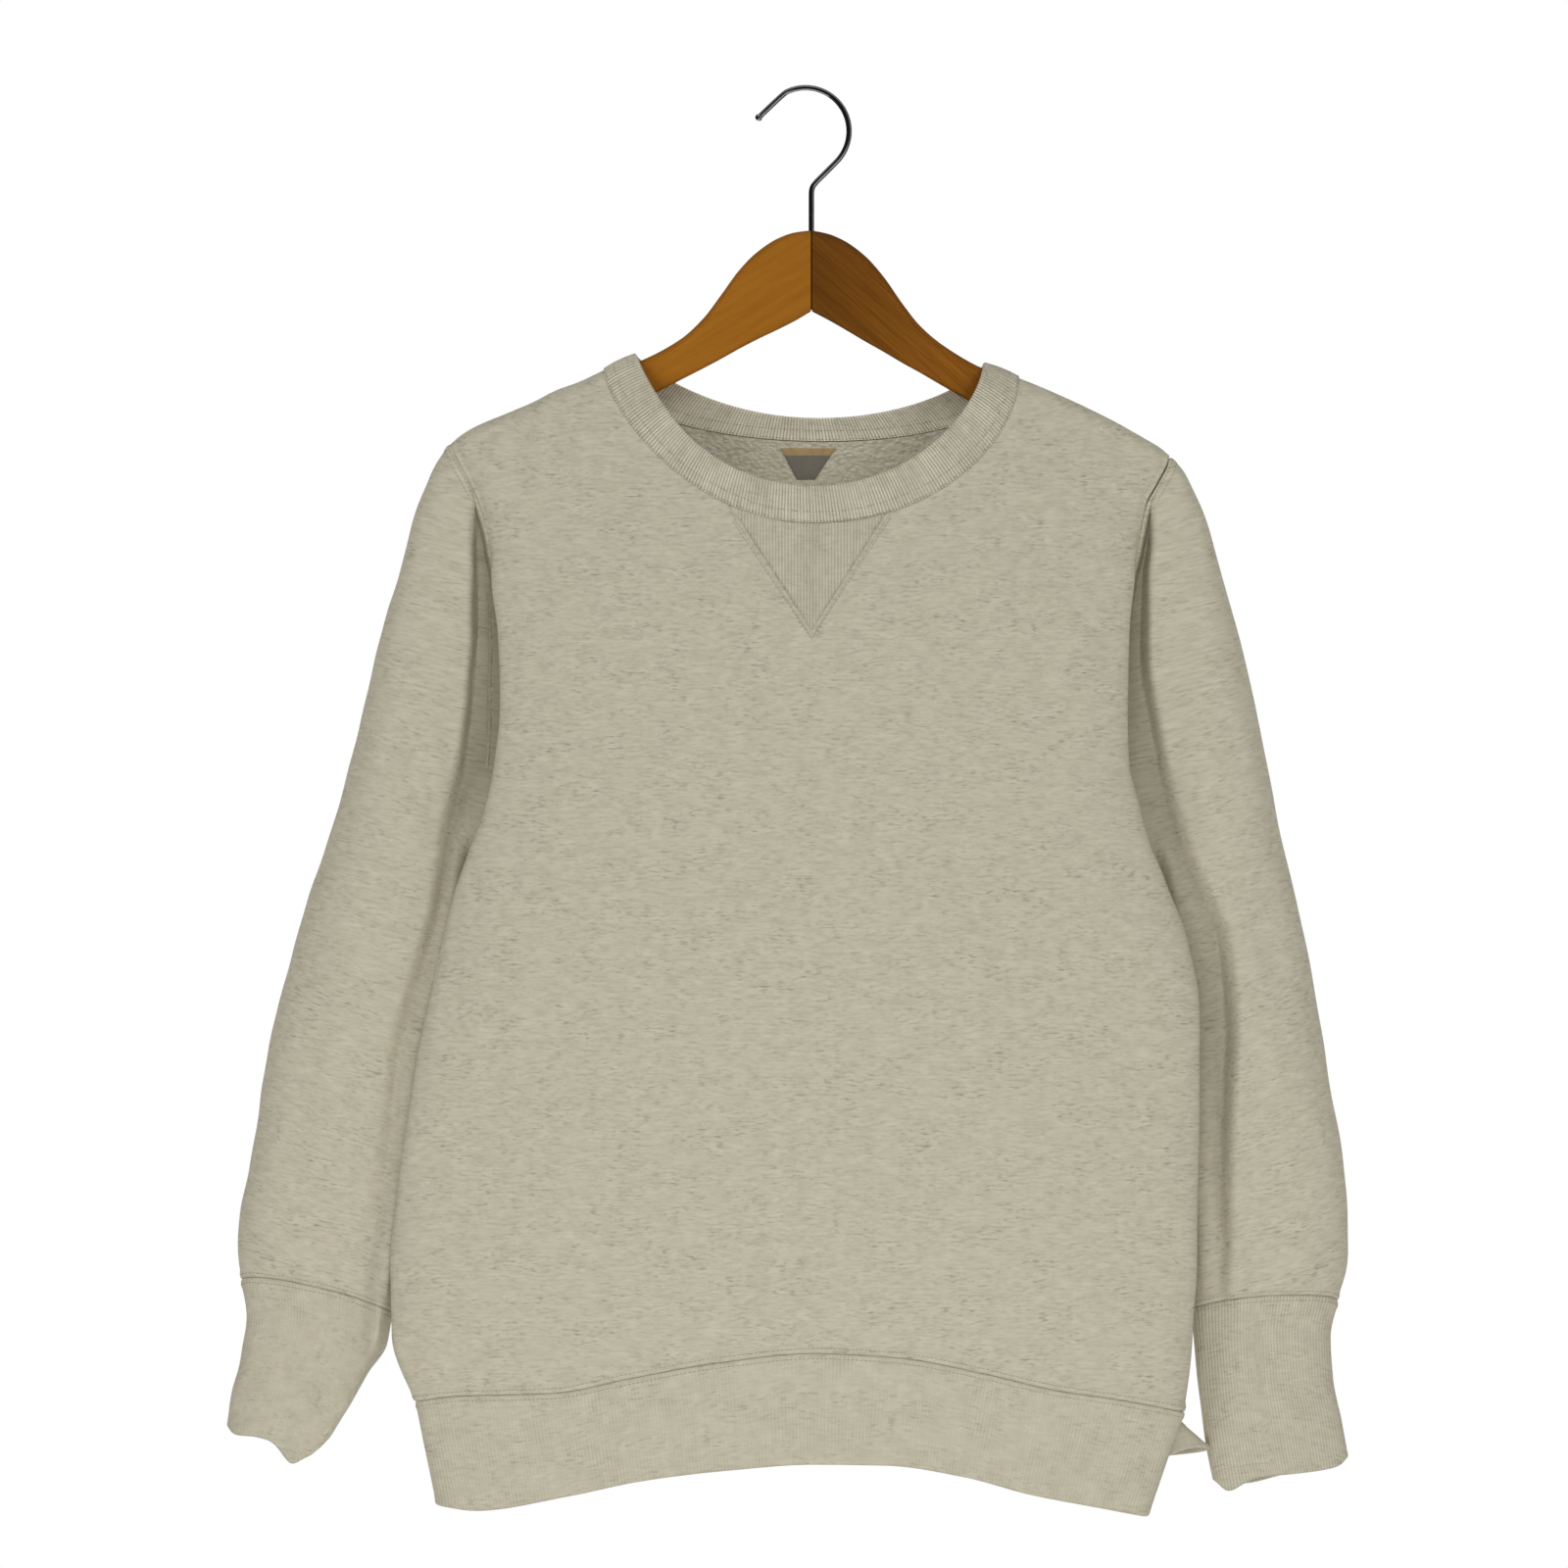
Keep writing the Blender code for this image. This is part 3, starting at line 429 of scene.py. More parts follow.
@dataclass
class Cloth:
    """A grid of points on the middle of a cloth wall, and how its skins are made.

    Attributes:
        name: Name of the piece.
        points: Rows of columns of points, in mm.
        outward: A row, a column and a direction that faces out of the cloth there.
        wall: Thickness of the cloth.
        closed: Whether the last column joins the first one.
        bottom: What happens at the last row; the first row is always sewn.
        sides: What happens at the first and the last column.
        relief: Height of the outer skin's own relief at each point.
        inner_relief: The same of the inner skin.
        seam_depth: How far the outer skin sinks at a sewn border, as a share of half the wall.
        seam_width: Half of the breadth of that sunk seam.
        flip: Whether the grid's own normals face in.
    """

    name: str
    points: Array
    outward: tuple[int, int, Point]
    wall: float
    closed: bool = False
    bottom: Border = Border.SEWN
    sides: Border = Border.SEWN
    relief: Array | float = 0.0
    inner_relief: Array | float = 0.0
    seam_depth: float = 0.8
    seam_width: float = 0.75
    flip: bool = field(init=False, default=False)

    def normals(self) -> Array:
        """The mean of the normals of the cells around each point, facing out.

        Returns:
            A direction for each point.
        """
        grid = self.points
        after = np.roll(grid, -1, axis=1) if self.closed else grid[:, 1:]
        here = grid if self.closed else grid[:, :-1]
        a, b, c, d = here[:-1], after[:-1], after[1:], here[1:]
        cells = unit(np.cross(c - a, d - b))
        total = np.zeros(grid.shape)
        width = cells.shape[1]
        for rows in (slice(0, -1), slice(1, None)):
            total[rows, :width] += cells
            if self.closed:
                total[rows] += np.roll(cells, 1, axis=1)
            else:
                total[rows, 1:] += cells
        normals = unit(total)
        row, column, direction = self.outward
        self.flip = bool(normals[row, column] @ np.array(direction) < 0)
        return -normals if self.flip else normals

    def gaps(self, axis: int = 0) -> Array:
        """Length along the cloth from the first row (axis 0) or column (axis 1), in mm.

        Args:
            axis: 0 to measure down the rows, 1 to measure across the columns.

        Returns:
            The length at each point.
        """
        steps = np.linalg.norm(np.diff(self.points, axis=axis), axis=-1)
        pad = [(0, 0), (0, 0)]
        pad[axis] = (1, 0)
        return np.pad(np.cumsum(steps, axis=axis), pad)

    def ends(self) -> tuple[Array, Array]:
        """Length along the cloth from the first row and from the last row, in mm."""
        down = self.gaps()
        return down, down[-1:] - down

    def crease(self, folds: tuple[Fold, ...], waves: Waves, share: Array | float = 1.0) -> None:
        """Lay folds and waves on the grid, to the given share of their height.

        Args:
            folds: Folds of both faces.
            waves: The cloth's slow waves.
            share: The share of their height, at each point.
        """
        normals = self.normals()
        height = lifts(folds, waves, self.points, normals) * share
        self.points = self.points + normals * height[..., None]

    def skins(self) -> tuple[Array, Array, Array]:
        """The outer skin, the inner skin and the normals.

        Returns:
            The points of both skins and the directions out of the cloth.
        """
        normals = self.normals()
        outer = np.ones(self.points.shape[:2])
        inner = np.ones(self.points.shape[:2])
        least = 0.01
        down, up = self.ends()
        borders = [(Border.SEWN, down), (self.bottom, up)]
        if not self.closed:
            across = self.gaps(1)
            borders += [(self.sides, across), (self.sides, across[:, -1:] - across)]
        half = self.wall / 2
        for border, gap in borders:
            if border is Border.SEWN:
                sunk = self.seam_depth * np.exp(-((gap / self.seam_width) ** 2))
                outer = np.minimum(outer, 1 - sunk)
            elif border is Border.FREE:
                roll = np.sqrt(np.maximum(least, 1 - (1 - np.clip(gap / half, 0, 1)) ** 2))
                outer, inner = np.minimum(outer, roll), np.minimum(inner, roll)
        shown = self.points + normals * (outer * half + self.relief * outer)[..., None]
        hidden = self.points - normals * (inner * half + self.inner_relief * inner)[..., None]
        return shown, hidden, normals

    def flat_map(self, down: Point = (0.0, 0.0, -1.0)) -> Array:
        """Places on the flat cloth for the knit's pattern, whose courses run square to a direction.

        Args:
            down: The direction of the wales, from the top of the piece to its foot.

        Returns:
            Across, from the middle column, and down for each point, in metres.
        """
        way = unit(np.array(down))
        step = np.diff(self.points, axis=1)
        along = step @ way
        across = np.sqrt(np.maximum(0.0, (step**2).sum(axis=-1) - along**2))
        across = np.pad(np.cumsum(across, axis=1), [(0, 0), (1, 0)])
        middle = across.shape[1] // 2
        return np.stack([across - across[:, middle : middle + 1], -(self.points @ way)], -1) * MM

    def line(self, distance: float, from_bottom: bool = False, inside: bool = False) -> Row:
        """A line on a skin at a distance from the first or the last row.

        Args:
            distance: The distance from that row, in mm.
            from_bottom: Whether it is measured from the last row.
            inside: Whether it lies on the inner skin.

        Returns:
            The line's points, the normals there, and whether the line is closed.
        """
        shown, hidden, normals = self.skins()
        skin, normals = (hidden, -normals) if inside else (shown, normals)
        gap, up = self.ends()
        if from_bottom:
            skin, normals, gap = skin[::-1], normals[::-1], up[::-1]
        spots, facing = [], []
        for column, reach in enumerate(gap.T):
            row = int(np.clip(np.searchsorted(reach, distance) - 1, 0, len(reach) - 2))
            share = (distance - reach[row]) / max(reach[row + 1] - reach[row], TINY)
            share = min(max(share, 0.0), 1.0)
            for kept, values in ((spots, skin), (facing, normals)):
                kept.append(values[row, column] * (1 - share) + values[row + 1, column] * share)
        return np.array(spots), unit(np.array(facing)), self.closed

    def build(self, materials: list[Material], flat: Array | None = None) -> Thing:
        """Args:
            materials: The outer skin's material, and the inner skin's if it differs.
            flat: Places on the flat cloth for each point, if they aren't the piece's own.

        Returns:
            The new object.
        """
        shown, hidden, _ = self.skins()
        rows, columns = shown.shape[:2]
        count = rows * columns
        flat = self.flat_map() if flat is None else flat
        if self.closed:
            after = flat[:, -1:] + (flat[:, -1:] - flat[:, -2:-1])
            flat = np.concatenate([flat, after], axis=1)
        index = np.arange(rows)[:, None] * columns + np.arange(flat.shape[1]) % columns

        def cells(values: Array) -> Array:
            """The grid's values at the four corners of each cell, in the order of its face."""
            four = [values[:-1, :-1], values[:-1, 1:], values[1:, 1:], values[1:, :-1]]
            return np.concatenate(np.stack(four[::-1] if self.flip else four, axis=2))

        quads, spots = cells(index), cells(flat)
        faces, maps = [quads, quads[:, ::-1] + count], [spots, spots[:, ::-1]]
        rims = [(index[0], flat[0], True), (index[-1], flat[-1], False)]
        if not self.closed:
            rims += [(index[:, 0], flat[:, 0], False), (index[:, -1], flat[:, -1], True)]
        for line, spots, turned in rims:
            order = [0, 3, 2, 1] if turned != self.flip else [0, 1, 2, 3]
            rim = np.stack([line[:-1], line[1:], line[1:] + count, line[:-1] + count], 1)
            faces.append(rim[:, order])
            maps.append(np.stack([spots[:-1], spots[1:], spots[1:], spots[:-1]], 1)[:, order])
        vertices = np.concatenate([shown.reshape(-1, 3), hidden.reshape(-1, 3)])
        thing = mesh_object(self.name, vertices, np.concatenate(faces), materials, 60)
        layer = thing.data.uv_layers.new(name=CLOTH_MAP)
        layer.data.foreach_set("uv", np.concatenate(maps).astype(np.float32).ravel())
        slots = np.zeros(len(thing.data.polygons), dtype=np.int32)
        slots[len(quads) : 2 * len(quads)] = len(materials) - 1
        thing.data.polygons.foreach_set("material_index", slots)
        cut = CUTS[self.name]
        carry(thing, cut.slot, cut.node)
        return thing


def mesh_object(
    name: str, vertices: Array, faces: Any, materials: list[Material], sharp: float | None = None
) -> Thing:
    """Make a smooth-shaded mesh object.

    Args:
        name: Name of the object.
        vertices: Its points, in mm.
        faces: Rows of vertex numbers.
        materials: Its material slots.
        sharp: Angle from which an edge is sharp, in degrees, or None.

    Returns:
        The new object, linked to the scene.
    """
    mesh = bpy.data.meshes.new(name)
    mesh.from_pydata((vertices * MM).tolist(), [], [list(map(int, face)) for face in faces])
    for material in materials:
        mesh.materials.append(material)
    mesh.shade_smooth()
    mesh.update()
    if sharp is not None:
        mesh.set_sharp_from_angle(angle=math.radians(sharp))
    thing = bpy.data.objects.new(name, mesh)
    bpy.context.scene.collection.objects.link(thing)
    return thing


def carry(thing: Thing, slot: str, *nodes: str) -> None:
    """Fix a piece to the part and hide the solids that it stands for.

    Args:
        thing: The piece.
        slot: The record's material slot that it takes its finish from; not used.
        nodes: The solids that it stands for.
    """
    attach(thing, BODY)
    if nodes:
        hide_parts(*nodes)
    LOG.info("%s: %d faces", thing.name, len(thing.data.polygons))


# --- the form of the garment ----------------------------------------------------------------


@dataclass(frozen=True)
class NeckCurve:
    """One curve round half of the neck, from the right neck point to the left one.

    Attributes:
        centre: X of its middle.
        half: Half of its breadth.
        base: Distance below the origin of the right and the left neck point.
        depth: How far its middle hangs below them.
        powers: How blunt it is on the right and on the left.
        sway: How far the right half leans out and in, in mm.
    """

    centre: float
    half: float
    base: tuple[float, float]
    depth: float
    powers: tuple[float, float]
    sway: float = 0.0

    def at(self, angle: Array) -> tuple[Array, Array]:
        """Read the curve.

        Args:
            angle: Degrees from -90 at the right neck point to 90 at the left one.

        Returns:
            X and the distance below the origin.
        """
        turn = np.radians(angle)
        across = np.sin(turn)
        power = np.where(np.asarray(angle) < 0, self.powers[0], self.powers[1])
        fall = np.maximum(0.0, np.cos(turn)) ** power
        base = self.base[0] + (self.base[1] - self.base[0]) * (across + 1) / 2
        sway = np.where(np.asarray(angle) < 0, self.sway * np.sin(4 * turn), 0.0)
        return self.centre + self.half * across + sway, base + self.depth * fall


NECK_POINTS = (172.0, 176.8)
COLLAR_POINTS = (162.4, 168.0)


@dataclass(frozen=True)
class BodyForm:
    """The middle of the cloth on the body: front, back, collar and hem band.

    Columns run from -13, the seam on the wearer's right, to 13. Columns -12 and 12 are the folded
    side edges, and columns -8 to 8 start on the neck seam. A drop is the share of the way from
    the top border to the hem seam. A slope says how fast the cloth moves off the hanger's plane
    as it falls, first below the neck and then below the shoulder tip.
    """

    neck_column: int = 8
    fold_column: int = 12
    seam_column: int = 13
    armpit_drop: float = 0.42
    drape_radius: float = 7.5
    front_slopes: tuple[float, float] = (0.34, 0.2)
    back_slopes: tuple[float, float] = (0.45, 0.2)
    slope_from: float = 60.0
    slope_over: float = 160.0
    section_power: float = 2.4
    section_round: float = 1.8
    top_fade: float = 0.035
    top_settle: float = 0.012
    tip_settle: float = 0.0015
    seam_power: int = 6
    crest: Profile = Profile(
        "out right left",
        (127, 172, 176.8), (142, 179, 182.8), (156, 184, 188.9), (170, 191.2, 195.4),
        (184, 197.2, 202.4), (205, 206, 214.2), (213, 210.6, 219), (221, 217, 225.6),
    )
    breadth: Profile = Profile(
        "below right left seam_in seam_back edge_y front_y back_y",
        (217, 217, 215, -4, 0, -2.5, -26, 30), (226, 213, 214.5, -4, 0, -6, -27, 30),
        (241, 205, 207.5, -4, 1, -8.5, -29, 30), (253, 199.8, 201.5, -3.7, 2, -9.5, -31, 30),
        (278, 195, 198, -2, 5, -12, -35, 32), (300, 194.8, 197, 2, 9, -14, -38, 33),
        (330, 191.5, 194.5, 4.5, 12, -15.5, -41, 35), (380, 190, 193, 5, 14, -17, -44, 37),
        (410, 193, 193.5, 5, 15, -17.5, -45, 38), (440, 199, 200, 5, 15, -18, -46, 39),
        (455, 204.5, 204, 7, 17, -18, -46, 39), (466, 208.8, 208.2, 9, 23.5, -18, -46, 39),
        (478, 213, 213.5, 6, 15.5, -18, -46, 39), (492, 217.5, 218.8, 3, 9.5, -18, -47, 39),
        (520, 224.5, 229.5, 0.6, 5, -18, -47, 39), (560, 234, 236.5, 0.5, 4, -18, -47, 39),
        (614, 244, 237, 0.5, 4, -18, -46, 38), (671, 252, 235.6, 0.5, 4, -18, -45, 37),
        (724, 257, 235, 0.5, 4, -17.5, -44, 36), (762, 256, 232.5, 0.5, 4, -17, -43, 35),
        (803, 241.6, 227.5, 0.5, 4, -16, -42, 34),
    )
    back_hole: Profile = Profile(
        "down right left y",
        (0, 221, 219, 0), (2.5, 220, 218.2, 3.2), (9, 217.5, 216.5, 6), (24, 211.5, 212.5, 9),
        (45, 204, 206, 11.5), (83, 199, 201, 13.5), (133, 197.5, 199, 14.5),
        (183, 198.5, 200, 14.5), (213, 200, 201, 14), (230, 200.5, 201.5, 13.5),
        (239, 200, 201.5, 13), (246, 199, 200.5, 5),
    )
    shares: Profile = Profile(
        "column top front back",
        (0, 0, 0, 0), (1, 0.125, 0.125, 0.125), (2, 0.25, 0.25, 0.25), (3, 0.36, 0.36, 0.36),
        (4, 0.45, 0.45, 0.45), (5, 0.515, 0.52, 0.52), (6, 0.56, 0.575, 0.575),
        (7, 0.58, 0.62, 0.62), (8, 0.588, 0.665, 0.665), (9, 0.72, 0.74, 0.74),
        (10, 0.825, 0.83, 0.82), (11, 0.92, 0.92, 0.90), (12, 1, 1, 0.97), (13, 1, 1, 1),
    )
    angles: Profile = Profile("column angle", *enumerate((0, 14, 28, 42, 55, 67, 78, 87, 90)))
    band: Profile = Profile(
        "share seam edge back_seam back_edge",
        (-1, 803, 867, 803, 867), (-0.9, 800, 870, 801, 863), (-0.65, 798, 861, 797, 853),
        (-0.45, 789, 851.5, 791, 846), (-0.22, 779, 845, 785, 840), (0, 773.5, 841.5, 782, 837),
        (0.22, 776, 842, 785, 839), (0.45, 785.5, 849, 791, 844), (0.65, 796, 860, 798, 850),
        (0.85, 803, 868, 804, 838), (1, 809.5, 874, 809.5, 829),
    )
    band_edge: tuple[float, float] = (229.0, 206.0)
    band_depth: float = 0.94
    flare: float = 53.0
    flare_column: float = 11.3
    flare_spread: float = 1.25
    flare_tuck: float = 3.0
    flare_back: float = 5.0
    flare_rise: float = 23.0
    seam_rise: float = 2.0
    front_neck: NeckCurve = NeckCurve(0.0, 127.0, NECK_POINTS, 90.9, (1.45, 1.15))
    back_neck: NeckCurve = NeckCurve(0.0, 127.0, NECK_POINTS, 40.6, (1.0, 1.0))
    front_collar: NeckCurve = NeckCurve(-1.0, 106.0, COLLAR_POINTS, 77.0, (1.4, 1.3), sway=2.0)
    back_collar: NeckCurve = NeckCurve(-1.0, 106.0, COLLAR_POINTS, 35.3, (1.7, 1.5))
    collar_y: tuple[float, float] = (-31.0, 24.0)
    collar_round: tuple[float, float] = (0.65, 0.45)
    collar_crown: float = 1.0
    crown_out: float = 0.3
    crown_up: float = 0.8

    def shoulder(self, x: Array) -> Array:
        """Distance of the shoulder line below the origin, straight between the neck points.

        Args:
            x: X of the places.

        Returns:
            The distance at each place.
        """
        out = self.crest.keys[0]
        first, last = NECK_POINTS
        inner = first + (last - first) * (x + out) / (2 * out)
        return np.where(np.abs(x) < out, inner, self.crest.at_side(np.abs(x), x >= 0))

    def drape(self, x: Array, below: Array, slopes: tuple[float, float]) -> Array:
        """How far cloth hung over the shoulder line stands off the hanger's middle plane.

        Args:
            x: X of the places.
            below: Their distances below the origin.
            slopes: How fast it moves off below the neck and below the shoulder tip.

        Returns:
            The distance from the plane.
        """
        drop = np.maximum(0.0, below - self.shoulder(x))
        over = 1 - np.minimum(drop, self.drape_radius) / self.drape_radius
        share = np.clip((np.abs(x) - self.slope_from) / self.slope_over, 0, 1)
        slope = slopes[0] + (slopes[1] - slopes[0]) * share
        return self.drape_radius * np.sqrt(1 - over * over) + slope * drop

    def bulge(self, x: Array, out: Array) -> Array:
        """Share of the full depth, in a section flat in its middle and round at its sides."""
        share = np.minimum(1.0, np.abs(x) / out)
        return (1 - share**self.section_power) ** (1 / self.section_round)

    def top_border(self, column: Array, face: Face) -> tuple[Array, Array]:
        """The neck seam and, outside it, the shoulder seam.

        Args:
            column: Columns, from -13 to 13.
            face: Which face of the garment.

        Returns:
            X and the distance below the origin.
        """
        count, sign, left = halves(np.asarray(column, dtype=float))
        curve = self.front_neck if face is Face.FRONT else self.back_neck
        neck_x, neck_below = curve.at(sign * self.angles.at(count, "angle"))
        share = self.shares.at(np.minimum(count, self.fold_column), "top")
        out = self.breadth.at_side(0, left) * share
        out = out - self.breadth.at(0, "seam_in") * np.maximum(0, count - self.fold_column)
        on_neck = count <= self.neck_column
        x = np.where(on_neck, neck_x, sign * out)
        return x, np.where(on_neck, neck_below, self.shoulder(sign * out))

    def column_x(self, sign: Array, drop: Array, top_x: Array, out: Array, share: Array) -> Array:
        """X of a column, easing from the spacing on the neck to the spacing on the body.

        Args:
            sign: Sign of X of the column.
            drop: Shares of the drop to the hem seam.
            top_x: X of the column's start on the top border.
            out: Half of the body's breadth.
            share: The column's share of that breadth.

        Returns:
            X in mm.
        """
        keep = 1 - share**self.seam_power
        fade = np.exp(-drop / self.top_fade) * keep
        low = sign * out * share
        off = (top_x - low) * (1 - keep)
        return low * (1 - fade) + top_x * fade + off * np.exp(-drop / self.top_settle)

    def front_y(self, x: Array, below: Array, left: Array) -> Array:
        """Y of the middle of the front wall.

        Args:
            x: X of the places.
            below: Their distances below the origin.
            left: Whether each is on the wearer's left.

        Returns:
            Y in mm.
        """
        out = self.breadth.at_side(below, left)
        edge = self.breadth.at(below, "edge_y")
        section = -(edge + (self.breadth.at(below, "front_y") - edge) * self.bulge(x, out))
        return -lesser(self.drape(x, below, self.front_slopes), section)

    def front(self, column: Any, drop: Any) -> Array:
        """Points of the front.

        Args:
            column: Columns, from -13 to 13.
            drop: Shares of the drop to the hem seam.

        Returns:
            The points, in mm.
        """
        column, drop = spread(column, drop)
        count, sign, left = halves(column)
        top_x, top_below = self.top_border(column, Face.FRONT)
        share = self.shares.at(np.minimum(count, self.fold_column), "front")
        below = top_below + drop * (self.band.at(sign * share, "seam") - top_below)
        out = self.breadth.at_side(below, left)
        x = self.column_x(sign, drop, top_x, out, share)
        y = self.front_y(x, below, left)
        turn = np.maximum(0.0, count - self.fold_column)
        back_x = sign * (out - self.breadth.at(below, "seam_in") * turn)
        back_y = self.breadth.at(below, "seam_back") * turn
        back_y = self.front_y(sign * out, below, left) + back_y
        back_y = back_y * (1 - np.exp(-drop / self.tip_settle))
        x = np.where(turn > 0, back_x, x)
        return places(x, np.where(turn > 0, back_y, y), below)

    def back_border(self, side: Side, drop: Any) -> Array:
        """The back's side border: the armhole seam, then the side seam.

        Args:
            side: Which side of the wearer.
            drop: Shares of the drop to the hem seam.

        Returns:
            The points, in mm.
        """
        drop = np.asarray(drop, float)
        column = side.sign * self.seam_column
        seam = self.front(column, drop)
        meet = self.front(column, self.armpit_drop)
        tip = self.top_border(column, Face.BACK)[1]

        def hole(below: Array) -> Array:
            """The armhole's edge on the back."""
            x = side.sign * self.back_hole.at(below - tip, side.value)
            return places(x, self.back_hole.at(below - tip, "y"), below)

        share = np.clip(drop / self.armpit_drop, 0, 1) ** self.seam_power
        open_side = hole(-seam[..., 2]) + (meet - hole(-meet[..., 2])) * share[..., None]
        return np.where((drop >= self.armpit_drop)[..., None], seam, open_side)

    def back_y(self, x: Array, below: Array, out: Array, edge: Array) -> Array:
        """Y of the middle of the back wall between its side borders.

        Args:
            x: X of the places.
            below: Their distances below the origin.
            out: Half of the body's breadth there.
            edge: Y of the side border there.

        Returns:
            Y in mm.
        """
        section = edge + (self.breadth.at(below, "back_y") - edge) * self.bulge(x, out)
        low = np.minimum(0.0, edge)
        return low + lesser(self.drape(x, below, self.back_slopes) - low, section - low)

    def back(self, column: Any, drop: Any) -> Array:
        """Points of the back.

        Args:
            column: Columns, from -13 to 13.
            drop: Shares of the drop to the hem seam.

        Returns:
            The points, in mm.
        """
        column, drop = spread(column, drop)
        count, sign, left = halves(column)
        sides = (self.back_border(side, drop) for side in (Side.LEFT, Side.RIGHT))
        border = np.where(left[..., None], *sides)
        top_x, top_below = self.top_border(column, Face.BACK)
        share = self.shares.at(count, "back")
        below = top_below + drop * (self.band.at(sign * share, "back_seam") - top_below)
        out = np.abs(border[..., 0])
        x = self.column_x(sign, drop, top_x, out, share)
        inner = places(x, self.back_y(x, below, out, border[..., 1]), below)
        return np.where((count >= self.seam_column)[..., None], border, inner)

    def hem(self, column: Any, face: Face, across: Any) -> Array:
        """Points of the hem band.

        Args:
            column: Columns, as on the front and the back.
            face: Which face of the garment.
            across: Shares of the way from the seam, at 0, to the free edge, at 1.

        Returns:
            The points, in mm.
        """
        column, across = spread(column, across)
        count, sign, left = halves(column)
        if face is Face.FRONT:
            seam, edge = self.front(column, 1.0), "edge"
            share = self.shares.at(np.minimum(count, self.fold_column), "front")
        else:
            seam, edge = self.back(column, 1.0), "back_edge"
            share = self.shares.at(count, "back")
        below = self.band.at(sign * share, edge)
        rise = np.where(left, self.flare_rise, self.seam_rise)
        corner = self.band.at(sign * share, "edge") - rise
        near = smoothstep((count - self.fold_column) / (self.seam_column - self.fold_column))
        below = below + (corner - below) * near
        out = np.where(left, self.band_edge[1], self.band_edge[0]) * share
        if face is Face.BACK:
            away = (count - self.flare_column) / self.flare_spread
            out = out + np.where(left, self.flare * np.exp(-away * away) * (1 - near), 0.0)
        out = out - np.where(left, self.flare_tuck * near, 0.0)
        y = seam[..., 1] * self.band_depth + np.where(left, self.flare_back * near, 0.0)
        return seam + (places(sign * out, y, below) - seam) * across[..., None]

    def collar(self, column: Any, face: Face, across: Any) -> Array:
        """Points of the neck rib.

        Args:
            column: Columns, from -8 to 8.
            face: Which face of the garment.
            across: Shares of the way from the seam, at 0, to the free edge, at 1.

        Returns:
            The points, in mm.
        """
        column, across = spread(column, across)
        count, sign, _ = halves(column)
        front = face is Face.FRONT
        seam = self.front(column, 0.0) if front else self.back(column, 0.0)
        angle = sign * self.angles.at(count, "angle")
        turn = np.radians(angle)
        level = np.maximum(0.0, np.cos(turn))
        x, below = (self.front_collar if front else self.back_collar).at(angle)
        y = self.collar_y[not front] * level ** self.collar_round[not front]
        up = np.abs(np.sin(turn)) * self.crown_up
        crown = np.stack([np.sin(turn) * self.crown_out, level * face.ahead[1], up], axis=-1)
        rise = self.collar_crown * 4 * across * (1 - across)
        return seam + (places(x, y, below) - seam) * across[..., None] + crown * rise[..., None]


ROWS = Profile(
    "row drop",
    *enumerate((0.0, 0.004, 0.016, 0.045, 0.085, 0.135, 0.19, 0.245, 0.30, 0.355, 0.405, 0.42)),
)
FOLD_NAMES = "ring outer_out outer_below inner_out inner_below"
DEPTH_NAMES = "ring outer_y inner_y depth lift"
SHADE_NAMES = "below limit turn y rise fill tuck"
RING_DEPTHS = Profile(
    DEPTH_NAMES,
    (0, 0, 5, 9, 0), (1, 0.5, 7, 13, 0), (2, 1, 11, 16, 0), (3, 2, 15, 19, 0), (4, 3, 17.5, 22, 0),
    (5, 4, 19, 24, 0), (6, 5.5, 20, 26, 0), (7, 7, 20, 27, 0), (8, 8.5, 20, 27.5, 0),
    (9, 10, 19.5, 27.5, 0), (10, 11, 19, 27, 0), (11, 12, 18, 25.5, 0), (12, 12.5, 17, 24, 0),
    (13, 13, 16, 22, 1), (14, 13, 14.5, 18.5, 3), (15, 13, 13, 13, 6),
)
CUFF_DEPTHS = Profile(
    DEPTH_NAMES,
    (0, 13, 13, 13, 6), (1, 13, 13, 12, 5), (2, 12, 12, 12, 3), (3, 11, 11, 12, 1),
    (4, 10, 10, 12.5, 0),
)
ARM_RINGS = {
    Side.RIGHT: Profile(
        FOLD_NAMES,
        (0, 221, 217, 198.5, 463), (1, 228, 227, 203.5, 465), (2, 236, 243, 208.5, 470),
        (3, 243.5, 266, 211.5, 478), (4, 251, 295, 214, 489), (5, 260, 322, 216, 505),
        (6, 268.5, 355, 218.5, 525), (7, 277, 392, 221, 547), (8, 287, 432, 224.5, 571),
        (9, 300, 473, 227.5, 598), (10, 313, 514, 232.5, 624), (11, 326, 561, 237.5, 650),
        (12, 335, 606, 242, 675), (13, 341, 648, 247, 700), (14, 350.6, 704, 252, 725),
        (15, 348, 729, 258, 750),
        shared=RING_DEPTHS,
    ),
    Side.LEFT: Profile(
        FOLD_NAMES,
        (0, 219, 225, 201, 470), (1, 227, 233, 206, 472), (2, 233, 245, 210.5, 477),
        (3, 241, 264, 213, 485), (4, 248.5, 289, 215, 496), (5, 256, 318, 218, 512),
        (6, 264.5, 349, 221, 532), (7, 273, 388, 224, 554), (8, 281.5, 430, 226.5, 578),
        (9, 290.8, 475, 227.5, 604), (10, 300.9, 520, 228, 629), (11, 310.8, 572, 228.5, 654),
        (12, 318, 615, 229.5, 678), (13, 325, 660, 231, 702), (14, 328.5, 711, 232.5, 725),
        (15, 322, 742, 234, 748),
        shared=RING_DEPTHS,
    ),
}
